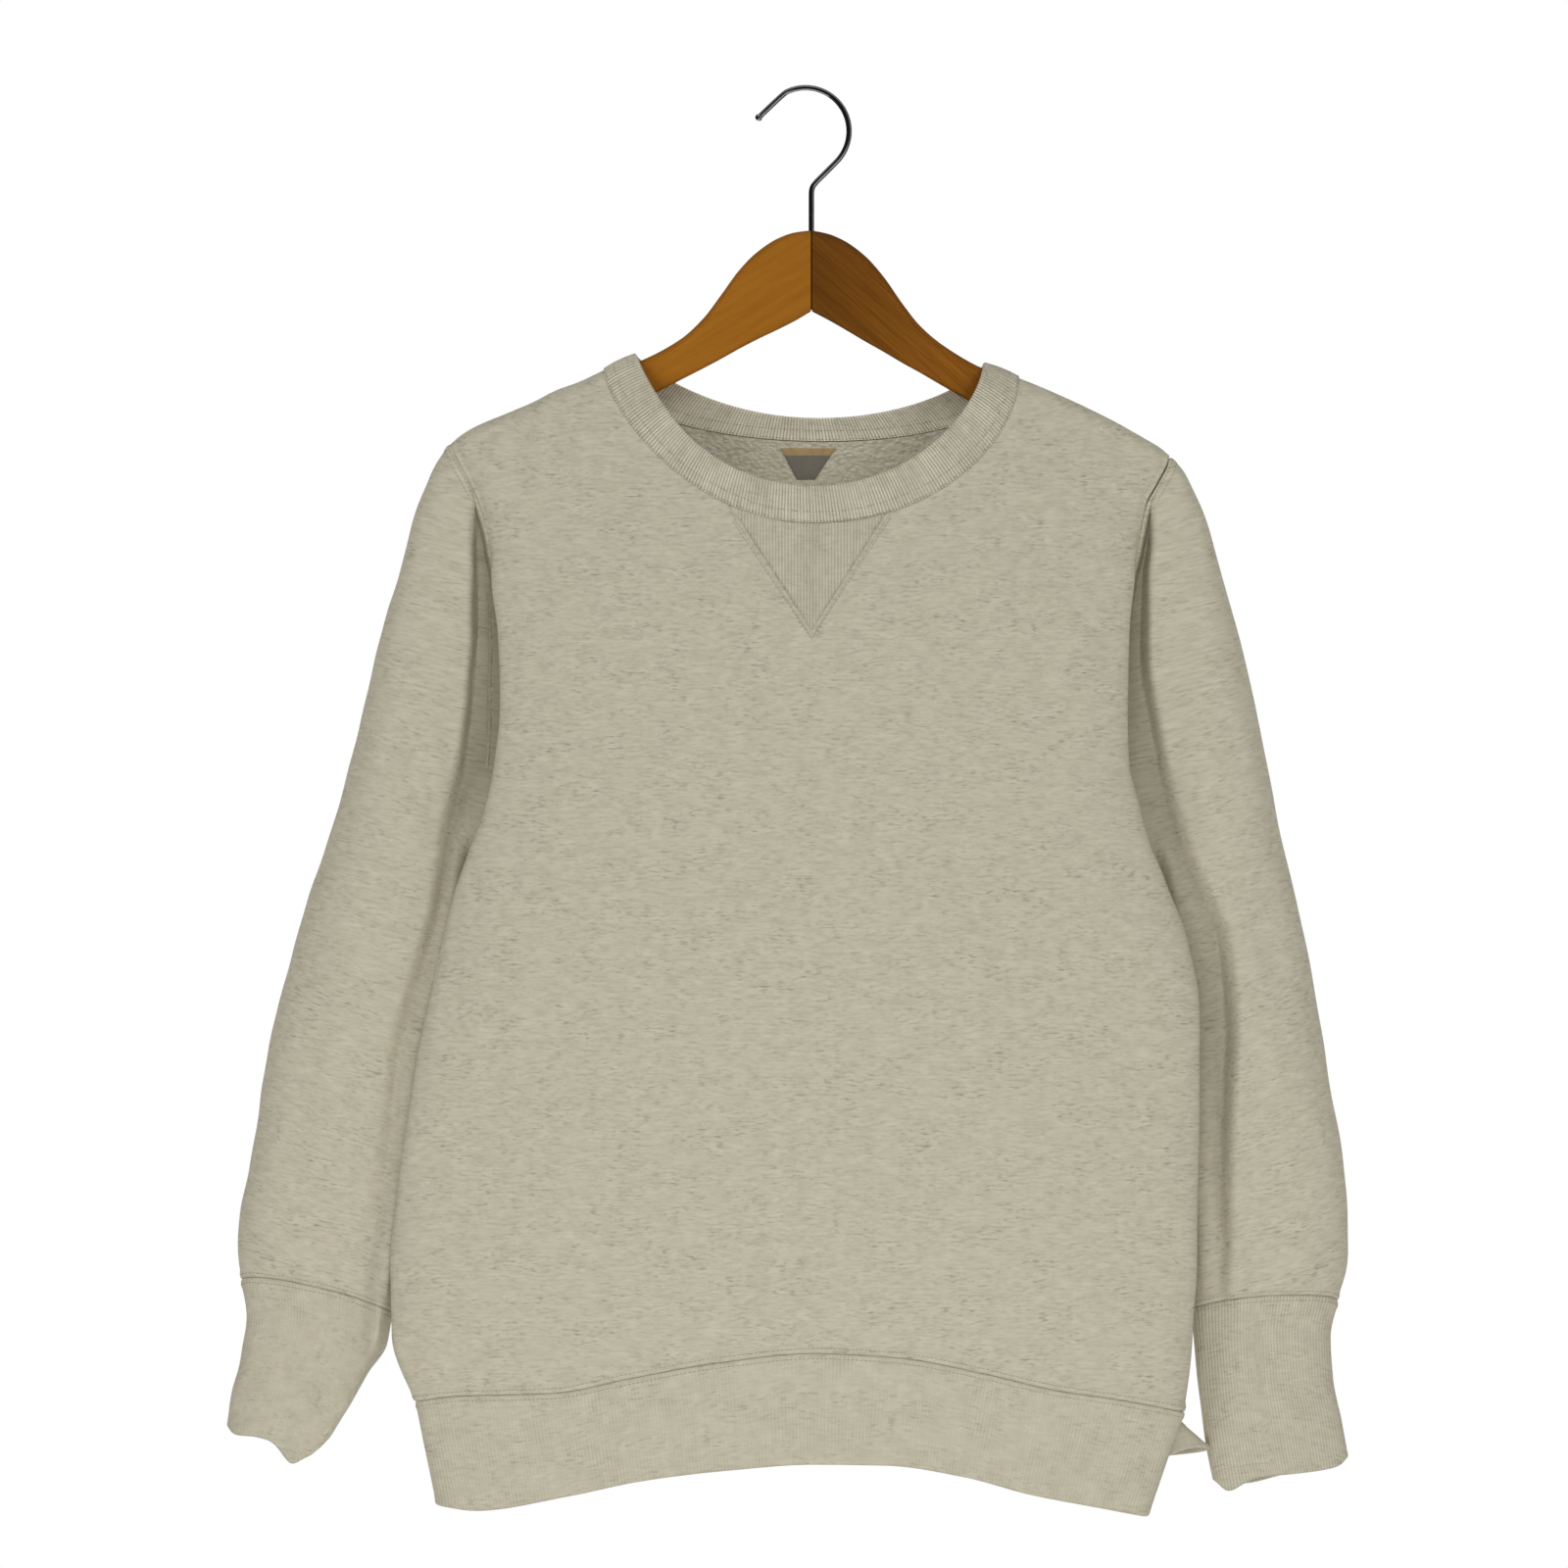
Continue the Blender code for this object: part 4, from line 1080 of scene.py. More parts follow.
CUFF_ROWS = {
    Side.RIGHT: Profile(
        FOLD_NAMES,
        (0, 348, 729, 258, 750), (1, 345, 753, 261, 768), (2, 348, 777, 272, 784),
        (3, 354, 801, 281.5, 801), (4, 357.5, 824.5, 296.5, 824),
        shared=CUFF_DEPTHS,
    ),
    Side.LEFT: Profile(
        FOLD_NAMES,
        (0, 322, 742, 234, 748), (1, 317, 764, 236, 772), (2, 318.5, 790, 238, 797),
        (3, 324, 817, 241.5, 824), (4, 328, 843, 247.5, 852),
        shared=CUFF_DEPTHS,
    ),
}
SHADES = {
    Side.RIGHT: Profile(
        SHADE_NAMES,
        (240, 203, 4, -2, 0, 0, 0), (256, 206.5, 5, 3, 0, 0, 0), (275, 207.5, 5, 10, 0, 0, 0),
        (300, 207, 5, 14, 0, 0, 0), (330, 207.5, 5, 16.5, 0, 0, 0), (380, 211.5, 5, 17, 0, 0, 0),
        (401, 214, 6, 16.5, 0, 0, 0), (425, 218.5, 8, 14, 1, 0, 0), (450, 224.5, 9, 8, 3, 0.3, 0),
        (475, 227.5, 9, 4, 6, 0.8, 3.5), (500, 232, 9, 2, 8, 1, 2.5), (523, 238, 9, 1, 9, 1, 1),
        (547, 244.5, 10, 0, 9, 1, 0), (571, 252, 11, 0, 9, 1, 0), (595, 256.5, 12, -1, 8, 1, 0),
        (650, 261, 13, -2, 8, 1, 0), (760, 276, 15, -3, 7, 1, 0), (800, 262, 10, -4, 4, 0.5, 0),
    ),
    Side.LEFT: Profile(
        SHADE_NAMES,
        (240, 205, 4, -2, 0, 0, 0), (256, 208, 5, 3, 0, 0, 0), (275, 209, 5, 8, 0, 0, 0),
        (300, 206, 6, 13, 0, 0, 0), (347, 205.5, 8, 14, 0, 0, 0), (389, 212.5, 8, 13, 0, 0, 0),
        (421, 218, 9, 11, 0, 0, 0), (454, 227, 12, 8, 2, 0, 0), (480, 236, 12, 5, 3, 0, 2),
        (500, 245.5, 12, 5, 3, 0, 1.5), (523, 254, 11, 7, 2, 0, 0), (571, 258.5, 11, 12, 1, 0, 0),
        (620, 256, 11, 11, 3, 0, 0), (692, 254.5, 10, 7, 3, 0, 0), (740, 254, 7, 4, 0, 0, 0),
        (770, 257, 7, 2, 0, 0, 0), (815, 254, 8, 0, 0, 0, 0), (850, 240, 8, -2, 0, 0, 0),
    ),
}
LOBES = {
    Side.RIGHT: (
        (104, 13, 6.6), (122, 35, 13.2), (250, 34, 8), (0, 22, -5.5), (360, 22, -5.5)
    ),
    Side.LEFT: ((75, 40, 1.2), (141, 20, 7.1), (240, 30, 4), (0, 22, -5), (360, 22, -5)),
}


@dataclass(frozen=True)
class ArmForm:
    """The middle of the cloth on one sleeve and its cuff.

    Rings run from 0 at the armhole seam to 15 at the cuff seam. Steps run round the sleeve from 0
    at the outer fold, down the front to 11 at the inner fold, and up the back to 22. A lobe is a
    wave of the cuff's edge: its angle, breadth in degrees and drop. A shade is the strip next to
    the body where the sleeve falls back behind the body's edge: out to "limit", over "turn", to
    "y", "rise" mm further inside. "fill" is the share by which deeper cloth comes forward to it,
    and "tuck" moves the inner fold in behind the body.
    """

    side: Side
    body: BodyForm
    armpit_step: int = 11
    last_ring: int = 15
    last_row: int = 4
    even_ring: int = 8
    hole_fade: float = 1.7
    cuff_fade: float = 0.5
    back_lift: float = 0.5
    shade_width: float = 14.0
    shade_rings: float = 0.4
    back_rings: float = 0.15
    front_end: float = 0.5
    fill_end: float = 0.4
    fill_steps: float = 1.6
    tuck_steps: float = 1.2
    clearance: float = 3.4

    def half_step(self, step: Array) -> Array:
        """How far each step is from the outer fold, in steps."""
        return np.where(step <= self.armpit_step, step, 2 * self.armpit_step - step)

    def armhole(self, step: Array) -> Array:
        """Points of the armhole seam, by step.

        Args:
            step: Steps round the sleeve.

        Returns:
            The points, in mm.
        """
        drop = ROWS.at(self.half_step(step), "drop")
        front = self.body.front(self.side.sign * self.body.seam_column, drop)
        back = self.body.back_border(self.side, drop)
        return np.where((step <= self.armpit_step)[..., None], front, back)

    def turn(self, step: Array, ring: Array) -> Array:
        """Angle round the sleeve: like the armhole's points at first, even further down.

        Args:
            step: Steps round the sleeve.
            ring: Rings.

        Returns:
            The angle from the outer fold, in radians.
        """
        half = self.half_step(step)
        share = 1 - 2 * ROWS.at(half, "drop") / ROWS.at(self.armpit_step, "drop")
        start = np.arccos(np.clip(share, -1, 1))
        even = math.pi * half / self.armpit_step
        turned = start + (even - start) * smoothstep(ring / self.even_ring)
        return np.where(step <= self.armpit_step, turned, 2 * math.pi - turned)

    def fold(self, table: Profile, ring: Array, name: str) -> Array:
        """Points of the fold called "outer" or "inner" in a table, by ring."""
        out, y, below = (table.at(ring, f"{name}_{part}") for part in ("out", "y", "below"))
        return places(self.side.sign * out, y, below)

    def oval(self, table: Profile, ring: Array, turn: Array, *folds: Array) -> Array:
        """Points of the ovals between the outer and the inner fold.

        Args:
            table: The folds' places and the ovals' depths, by ring.
            ring: Rings.
            turn: Angles round the oval.
            folds: The outer and the inner fold's places, if they aren't the table's.

        Returns:
            The points, in mm.
        """
        outer, inner = folds or (self.fold(table, ring, name) for name in ("outer", "inner"))
        spot = inner + (outer - inner) * ((1 + np.cos(turn)) / 2)[..., None]
        deep = np.sin(turn)
        lift = table.at(ring, "lift") * np.abs(deep) * np.where(deep > 0, 1.0, self.back_lift)
        depth = table.at(ring, "depth") * deep
        return spot + np.stack([np.zeros_like(deep), -depth, lift], axis=-1)

    def sleeve(self, ring: Any, step: Any) -> Array:
        """Points of the sleeve, by ring and step.

        Args:
            ring: Rings.
            step: Steps round the sleeve.

        Returns:
            The points, in mm.
        """
        ring, step = spread(ring, step)
        rings, none = ARM_RINGS[self.side], np.zeros_like(ring)
        tip, armpit = self.armhole(np.array([0.0, self.armpit_step]))
        first = self.oval(rings, none, self.turn(step, none), tip, armpit)
        fade = np.exp(-((ring / self.hole_fade) ** 2))
        spot = self.oval(rings, ring, self.turn(step, ring))
        return self.shaded(spot + (self.armhole(step) - first) * fade[..., None], ring, step)

    def shaded(self, spot: Array, ring: Array, step: Array) -> Array:
        """Let the arm fall back in the strip next to the body.

        Args:
            spot: Points of the sleeve or the cuff.
            ring: Rings.
            step: Steps round the sleeve.

        Returns:
            The moved points: the front falls back, the back wall stays clear behind it, and the
            inner fold is tucked in behind the body.
        """
        below, out = -spot[..., 2], np.abs(spot[..., 0])
        shape = {name: SHADES[self.side].at(below, name) for name in SHADE_NAMES.split()[1:]}
        reach = shape["limit"] - out
        inside = smoothstep(reach / shape["turn"] + 0.5)
        sunk = shape["y"] - shape["rise"] * smoothstep(reach / self.shade_width)
        start = smoothstep(ring / self.shade_rings)
        front = smoothstep(self.armpit_step + self.front_end - step)
        fill = smoothstep((self.armpit_step - self.fill_end - step) / self.fill_steps)
        fill = shape["fill"] * fill
        away = sunk - spot[..., 1]
        move = inside * start * front * (np.maximum(0.0, away) + fill * np.minimum(0.0, away))
        behind = inside * smoothstep(ring / self.back_rings) * (1 - front)
        move = move + behind * np.maximum(0.0, away + self.clearance)
        near = (step - self.armpit_step) / self.tuck_steps
        tuck = -self.side.sign * shape["tuck"] * (np.exp(-(near**2)) * smoothstep(ring))
        return spot + np.stack([tuck, move, np.zeros_like(move)], axis=-1)

    def cuff(self, row: Any, step: Any) -> Array:
        """Points of the cuff, by row from its seam to its wavy free edge, and by step.

        Args:
            row: Rows, from 0 at the seam to 4 at the wavy free edge.
            step: Steps round the sleeve.

        Returns:
            The points, in mm.
        """
        row, step = spread(row, step)
        table, turn = CUFF_ROWS[self.side], math.pi * step / self.armpit_step
        spot = self.oval(table, row, turn)
        for angle, breadth, drop in LOBES[self.side]:
            away = (np.degrees(turn) - angle) / breadth
            spot[..., 2] -= drop * np.exp(-away * away) * (row / self.last_row) ** 3
        ring = np.full_like(row, float(self.last_ring))
        seam = self.oval(ARM_RINGS[self.side], ring, self.turn(step, ring))
        fade = np.exp(-((row / self.cuff_fade) ** 2))
        start = self.oval(table, np.zeros_like(row), turn)
        return self.shaded(spot + (seam - start) * fade[..., None], ring, step)


# --- nodes and finishes ---------------------------------------------------------------------


def linear(code: str) -> tuple[float, float, float, float]:
    """Turn an sRGB hex colour into linear red, green, blue and alpha.

    Args:
        code: The colour, such as "#B4AF9C".

    Returns:
        The linear colour.
    """
    parts = [int(code[k : k + 2], 16) / 255 for k in (1, 3, 5)]
    straight = [v / 12.92 if v <= 0.04045 else ((v + 0.055) / 1.055) ** 2.4 for v in parts]
    return (*straight, 1.0)


class Nodes:
    """A node tree while it is written."""

    def __init__(self, tree: bpy.types.NodeTree) -> None:
        """Start with an empty tree."""
        self.tree = tree
        tree.nodes.clear()

    def add(self, kind: str, inputs: dict[str | int, Any], **settings: Any) -> bpy.types.Node:
        """Add a node with its settings and links.

        Args:
            kind: The node's type, without "ShaderNode".
            inputs: A value, a hex colour or a socket to link for each input.
            settings: The node's own properties.

        Returns:
            The new node.
        """
        node = self.tree.nodes.new(f"ShaderNode{kind}")
        for name, value in settings.items():
            setattr(node, name, value)
        for name, value in inputs.items():
            if isinstance(value, Socket):
                self.tree.links.new(value, node.inputs[name])
            else:
                value = linear(value) if isinstance(value, str) else value
                node.inputs[name].default_value = value
        return node

    def math(self, operation: str, *values: Any) -> Socket:
        """The result of a sum on one or two values."""
        return self.add("Math", dict(enumerate(values)), operation=operation).outputs[0]

    def mixed(self, share: Any, first: Any, second: Any, blend: str = "MIX") -> Socket:
        """The colour between two colours."""
        inputs = {0: share, 6: first, 7: second}
        return self.add("Mix", inputs, data_type="RGBA", blend_type=blend).outputs[2]

    def ranged(
        self, value: Socket, low: float, high: float, top: float = 1.0, bottom: float = 0.0
    ) -> Socket:
        """A value stretched so that low gives the bottom and high gives the top."""
        return self.add("MapRange", {0: value, 1: low, 2: high, 3: bottom, 4: top}).outputs[0]

    def noise(
        self, spot: Socket, detail: float = 2.0, rough: float = 0.6, scale: float = 1.0
    ) -> Socket:
        """Noise whose blotches are about one unit of its coordinates wide at scale 1."""
        inputs = {"Vector": spot, "Scale": scale, "Detail": detail, "Roughness": rough}
        return self.add("TexNoise", inputs).outputs[0]

    def flat(self) -> Socket:
        """Places on the flat cloth, in metres."""
        return self.add("UVMap", {}, uv_map=CLOTH_MAP).outputs[0]

    def place(self) -> Socket:
        """Places on the object, in metres."""
        return self.add("TexCoord", {}).outputs["Object"]

    def part(self, spot: Socket, axis: int) -> Socket:
        """One coordinate of a place."""
        return self.add("SeparateXYZ", {0: spot}).outputs[axis]

    def cells(self, across: float, down: float, shift: float = 0.0) -> Socket:
        """Places on the flat cloth, counted in cells of a given size in millimetres.

        Args:
            across: Breadth of a cell.
            down: Height of a cell.
            shift: How far the cells are moved, in cells.

        Returns:
            The coordinates.
        """
        size, lean = (1 / (across * MM), 1 / (down * MM), 1.0), 1.7
        inputs = {"Vector": self.flat(), "Scale": size, "Location": (shift, shift * lean, 0)}
        return self.add("Mapping", inputs).outputs[0]

    def bump(self, height: Socket, strength: float, depth: float, invert: bool = False) -> Socket:
        """The normal over a relief of a given depth, in mm."""
        inputs = {"Strength": strength, "Distance": depth * MM, "Height": height}
        return self.add("Bump", inputs, invert=invert).outputs[0]

    def surface(self, colour: Socket, fixed: dict[str, Any], normal: Socket | None = None) -> None:
        """End a material in a Principled surface.

        Args:
            colour: The base colour.
            fixed: Values of the shader's own sockets.
            normal: The bumped normal, or None.
        """
        inputs = {"Base Color": colour, **fixed}
        if normal is not None:
            inputs["Normal"] = normal
        shader = self.add("BsdfPrincipled", inputs)
        self.add("OutputMaterial", {"Surface": shader.outputs[0]})


@dataclass(frozen=True)
class Finish:
    """What a surface is made of."""

    name: str

    def paint(self, nodes: Nodes) -> None:
        """Write the finish's nodes."""
        raise NotImplementedError

    def build(self) -> Material:
        """Make the material.

        Returns:
            The material.
        """
        material = bpy.data.materials.new(self.name)
        material.use_nodes = True
        self.paint(Nodes(material.node_tree))
        return material


@dataclass(frozen=True)
class Specks:
    """Soft spots of one size on the flat cloth.

    Attributes:
        across: Breadth of a spot, in mm.
        down: Height of a spot, in mm.
        low: The noise up to which there is no spot.
        high: The noise from which a spot is full.
        shift: Where on the noise the spots are read.
        detail: How fine their edges are.
        rough: How strong the fine detail is.
    """

    across: float
    down: float
    low: float
    high: float
    shift: float = 0.0
    detail: float = 2.0
    rough: float = 0.6

    def share(self, nodes: Nodes, top: float = 1.0) -> Socket:
        """Where the spots are: 0 between them and the top in them."""
        spot = nodes.cells(self.across, self.down, self.shift)
        return nodes.ranged(nodes.noise(spot, self.detail, self.rough), self.low, self.high, top)


@dataclass(frozen=True)
class HeatherFleece(Finish):
    """Cotton loopback jersey in a heather oatmeal: pale yarn with short grey slubs on each course.

    The eye sees a matt, slightly fuzzy cloth with faint blotches and fine dark dashes that lie
    across the garment.
    """

    name: str = "heather_fleece"
    pale: str = "#C9C3AE"
    mid: str = "#BDB7A2"
    grey: str = "#8E8A78"
    dark: str = "#8A8573"
    blotch: Specks = Specks(13.0, 7.0, 0.3, 0.7, detail=3.0)
    streak: Specks = Specks(8.0, 1.8, 0.42, 0.78, 3.1, 3.0)
    fleck: Specks = Specks(5.5, 1.5, 0.52, 0.78, 9.7, 1.0, 0.5)
    patch: Specks = Specks(26.0, 15.0, 0.38, 0.62, 1.9)
    streak_share: float = 0.42
    fleck_share: float = 0.78
    fuzz: float = 0.8
    roughness: float = 0.95

    def colour(self, nodes: Nodes) -> Socket:
        """The heather's colour on the flat cloth.

        Args:
            nodes: The material's node tree.

        Returns:
            The colour.
        """
        base = nodes.mixed(self.blotch.share(nodes), self.pale, self.mid)
        base = nodes.mixed(self.streak.share(nodes, self.streak_share), base, self.grey)
        flecks = self.fleck.share(nodes), self.patch.share(nodes, self.fleck_share)
        return nodes.mixed(nodes.math("MULTIPLY", *flecks), base, self.dark)

    def grain(self, nodes: Nodes) -> Socket:
        """The fuzz and the slight unevenness of the knit."""
        return nodes.noise(nodes.cells(self.fuzz, self.fuzz))

    def paint(self, nodes: Nodes) -> None:
        """Write the finish's nodes."""
        fixed = {
            "Roughness": self.roughness,
            "Specular IOR Level": 0.15,
            "Sheen Weight": 0.1,
            "Sheen Roughness": 0.6,
            "Sheen Tint": (1.0, 0.98, 0.93, 1.0),
        }
        nodes.surface(self.colour(nodes), fixed, nodes.bump(self.grain(nodes), 0.35, 0.4))


@dataclass(frozen=True)
class LoopbackInside(HeatherFleece):
    """The looped inner face of the jersey: small uneven loops, with painted shade between them."""

    name: str = "loopback_inside"
    pale: str = "#E8E2CC"
    mid: str = "#DED7C1"
    hollow_shade: str = "#B0A88F"
    streak_share: float = 0.25
    fleck_share: float = 0.4
    loop: tuple[float, float] = (2.6, 1.7)

    def paint(self, nodes: Nodes) -> None:
        """Write the finish's nodes.

        Args:
            nodes: The material's node tree.
        """
        inputs = {"Vector": nodes.cells(*self.loop), "Scale": 1.0, "Randomness": 0.9}
        cell = nodes.add("TexVoronoi", inputs, feature="SMOOTH_F1")
        # Painted shade: the colour darkens towards the edge of each loop, into the hollows.
        deep = nodes.ranged(cell.outputs["Distance"], 0.15, 0.75)
        share = nodes.ranged(deep, 0.2, 1.0, 0.5)
        colour = nodes.mixed(share, self.colour(nodes), self.hollow_shade)
        fixed = {"Roughness": 1.0, "Specular IOR Level": 0.1}
        nodes.surface(colour, fixed, nodes.bump(deep, 0.8, 0.7, invert=True))


@dataclass(frozen=True)
class HeatherRib(HeatherFleece):
    """Cotton rib in the same heather: raised wales with painted shade in the furrows between them.

    Attributes:
        pitch: From one wale to the next, in mm.
        furrow_shade: How far painted shade darkens the furrows, from 0 to 1.
        patchy: Whether the furrow shade shows only in patches, as on stretched or brushed rib.
        shown: Where the furrow shade shows on patchy rib.
        wale_length: Length over which one wale stays lighter or darker than the next, in mm.
        uneven: How much the wales differ, from 0 to 1.
        shadow: The painted shade at the bottom of a furrow.
    """

    name: str = "heather_rib"
    pale: str = "#DAD4BF"
    mid: str = "#CFC9B4"
    shadow: str = "#77735F"
    pitch: float = 1.9
    furrow_shade: float = 0.6
    patchy: bool = False
    shown: Specks = Specks(26.0, 26.0, 0.42, 0.68, 5.3)
    wale_length: float = 24.0
    uneven: float = 0.3
    streak_share: float = 0.25
    fleck_share: float = 0.4

    def paint(self, nodes: Nodes) -> None:
        """Write the finish's nodes.

        Args:
            nodes: The material's node tree.
        """
        turn = nodes.math("MULTIPLY", nodes.part(nodes.flat(), 0), 2 * math.pi / (self.pitch * MM))
        wave = nodes.math("COSINE", turn)
        wale = nodes.ranged(wave, -1.0, 0.8)
        # Painted shade: the colour darkens towards the bottom of each furrow.
        low = nodes.ranged(wave, 0.4, -1.0, self.furrow_shade)
        if self.patchy:
            low = nodes.math("MULTIPLY", low, self.shown.share(nodes))
        wales = Specks(self.pitch * 1.6, self.wale_length, 0.4, 0.8, 6.1)
        colour = nodes.mixed(wales.share(nodes, self.uneven), self.colour(nodes), self.grey)
        colour = nodes.mixed(low, colour, self.shadow)
        height = nodes.math("ADD", wale, self.grain(nodes))
        fixed = {"Roughness": self.roughness, "Specular IOR Level": 0.15, "Sheen Weight": 0.1}
        nodes.surface(colour, fixed, nodes.bump(height, 0.4, 0.4))


@dataclass(frozen=True)
class WovenLabel(Finish):
    """Damask-woven polyester tape: a smooth fine weave, grey with a tan strip along its fold."""

    name: str = "woven_label"
    grey: str = "#8F897A"
    tan: str = "#C9AE7C"
    worn: str = "#5E5A50"
    strip: float = 4.2
    strip_edge: float = 0.4
    thread: float = 0.5
    wear: Specks = Specks(5.0, 5.0, 0.35, 0.75)
    wear_share: float = 0.3

    def paint(self, nodes: Nodes) -> None:
        """Write the finish's nodes.

        Args:
            nodes: The material's node tree.
        """
        down = nodes.part(nodes.flat(), 1)
        head = nodes.ranged(down, -(self.strip + self.strip_edge) * MM, -self.strip * MM)
        threads = {
            "Vector": nodes.cells(self.thread, self.thread),
            "Color1": (1, 1, 1, 1),
            "Color2": (0.7, 0.7, 0.7, 1),
            "Scale": 1.0,
        }
        weave = nodes.add("TexChecker", threads)
        plain = nodes.mixed(head, self.grey, self.tan)
        plain = nodes.mixed(self.wear.share(nodes, self.wear_share), plain, self.worn)
        colour = nodes.mixed(0.5, plain, weave.outputs[0], "MULTIPLY")
        bump = nodes.bump(weave.outputs[1], 0.3, 0.1)
        nodes.surface(colour, {"Roughness": 0.6, "Sheen Weight": 0.2}, bump)


@dataclass(frozen=True)
class VarnishedWood(Finish):
    """Beech stained brown under satin varnish, sawn so that the grain runs down the arm.

    Attributes:
        light: The stain's colour between the grain lines.
        dark: The colour of the grain lines.
        slope: How far the grain leans down from level towards +X, in degrees.
        figured: How strong the broad figure is, from 0 to 1.
        lined: How strong the fine grain lines are.
        pore: The colour of the pores.
        near: How bright the colour is at the mitre, against 1 further out; darker towards the
            mitre.
        near_out: How far out the colour is full, in metres.
        grain: Breadth of a grain line, in mm.
        length: Length of a grain figure, in mm.
    """

    light: str
    dark: str
    slope: float
    figured: float = 0.8
    lined: float = 0.3
    pore: str = "#4A2808"
    near: float = 0.85
    near_out: float = 0.08
    grain: float = 2.4
    length: float = 60.0

    def paint(self, nodes: Nodes) -> None:
        """Write the finish's nodes.

        Args:
            nodes: The material's node tree.
        """
        spot = nodes.place()
        turn = {"Vector": spot, "Rotation": (0, -math.radians(self.slope), 0)}
        turned = nodes.add("Mapping", turn).outputs[0]

        def stretched(length: float, breadth: float, shift: float) -> Socket:
            """Places counted in cells that lie along the grain, with sizes in mm.

            Args:
                length: Length of a cell.
                breadth: Breadth of a cell.
                shift: How far the cells are moved, in cells.

            Returns:
                The coordinates.
            """
            size = (1 / (length * MM), 1 / (breadth * MM), 1 / (breadth * MM))
            inputs = {"Vector": turned, "Scale": size, "Location": (shift, 0, shift)}
            return nodes.add("Mapping", inputs).outputs[0]

        figure = nodes.noise(stretched(self.length, self.grain * 3, 2.0), 3.0, 0.55)
        line = nodes.noise(stretched(self.length * 0.7, self.grain * 0.45, 7.0), 3.0)
        pores = nodes.ranged(nodes.noise(stretched(6.0, 0.5, 4.0), 1.0, 0.5), 0.6, 0.72, 0.18)
        share = nodes.ranged(figure, 0.3, 0.72, self.figured)
        colour = nodes.mixed(share, self.light, self.dark)
        colour = nodes.mixed(nodes.ranged(line, 0.5, 0.66, self.lined), colour, self.dark)
        colour = nodes.mixed(pores, colour, self.pore)
        out = nodes.math("ABSOLUTE", nodes.part(spot, 0))
        level = nodes.ranged(out, 0.0, self.near_out, 1.0, self.near)
        inputs = {0: colour, "Scale": level}
        colour = nodes.add("VectorMath", inputs, operation="SCALE").outputs[0]
        fixed = {"Roughness": nodes.ranged(figure, 0.3, 0.7, 0.5, 0.38), "Specular IOR Level": 0.1}
        nodes.surface(colour, fixed, nodes.bump(line, 0.12, 0.2))


@dataclass(frozen=True)
class Clouded(Finish):
    """A plain surface whose shade changes slightly from place to place.

    Attributes:
        shade: The first shade.
        other: The second shade.
        scale: How many blotches there are in a metre.
        detail: How fine the blotches are.
        high: The noise at which the second shade is full.
        rough: Roughness of the first and the second shade.
        specular: Strength of the reflection, or None where the surface is metal.
    """

    shade: str = "#FFFFFF"
    other: str = "#FFFFFF"
    scale: float = 1.0
    detail: float = 2.0
    high: float = 0.7
    rough: tuple[float, float] = (0.8, 0.8)
    specular: float | None = None

    def paint(self, nodes: Nodes) -> None:
        """Write the finish's nodes.

        Args:
            nodes: The material's node tree.
        """
        low = 0.3
        marks = nodes.noise(nodes.place(), self.detail, 0.5, self.scale)
        colour = nodes.mixed(nodes.ranged(marks, low, self.high), self.shade, self.other)
        smooth, coarse = self.rough
        if smooth == coarse:
            fixed = {"Roughness": smooth}
        else:
            fixed = {"Roughness": nodes.ranged(marks, low, self.high, coarse, smooth)}
        if self.specular is None:
            fixed["Metallic"] = 1.0
        else:
            fixed["Specular IOR Level"] = self.specular
        nodes.surface(colour, fixed)


@dataclass(frozen=True)
class SewingCotton(Clouded):
    """Spun sewing thread, matt with a faint twist, darker than the cloth as painted shade."""

    name: str = "sewing_cotton"
    # Darker than the cloth: painted shade of the needle holes along each stitch row.
    shade: str = "#A39D89"
    other: str = "#8A8572"
    scale: float = 1200.0
    detail: float = 1.0
    specular: float | None = 0.25


@dataclass(frozen=True)
class ChromedWire(Clouded):
    """Bright chrome over drawn steel wire: a near mirror with faint drawing marks along it."""

    name: str = "chromed_wire"
    shade: str = "#DADADB"
    other: str = "#B9B9BA"
    scale: float = 300.0
    detail: float = 3.0
    high: float = 0.8
    rough: tuple[float, float] = (0.04, 0.14)


@dataclass(frozen=True)
class PaintedFloor(Clouded):
    """Matt pale floor paint, nearly white and without a pattern."""

    name: str = "painted_floor"
    shade: str = "#EAE9E5"
    other: str = "#E5E4E0"
    scale: float = 40.0
    rough: tuple[float, float] = (0.85, 0.85)
    specular: float | None = 0.2


# --- stitching ------------------------------------------------------------------------------


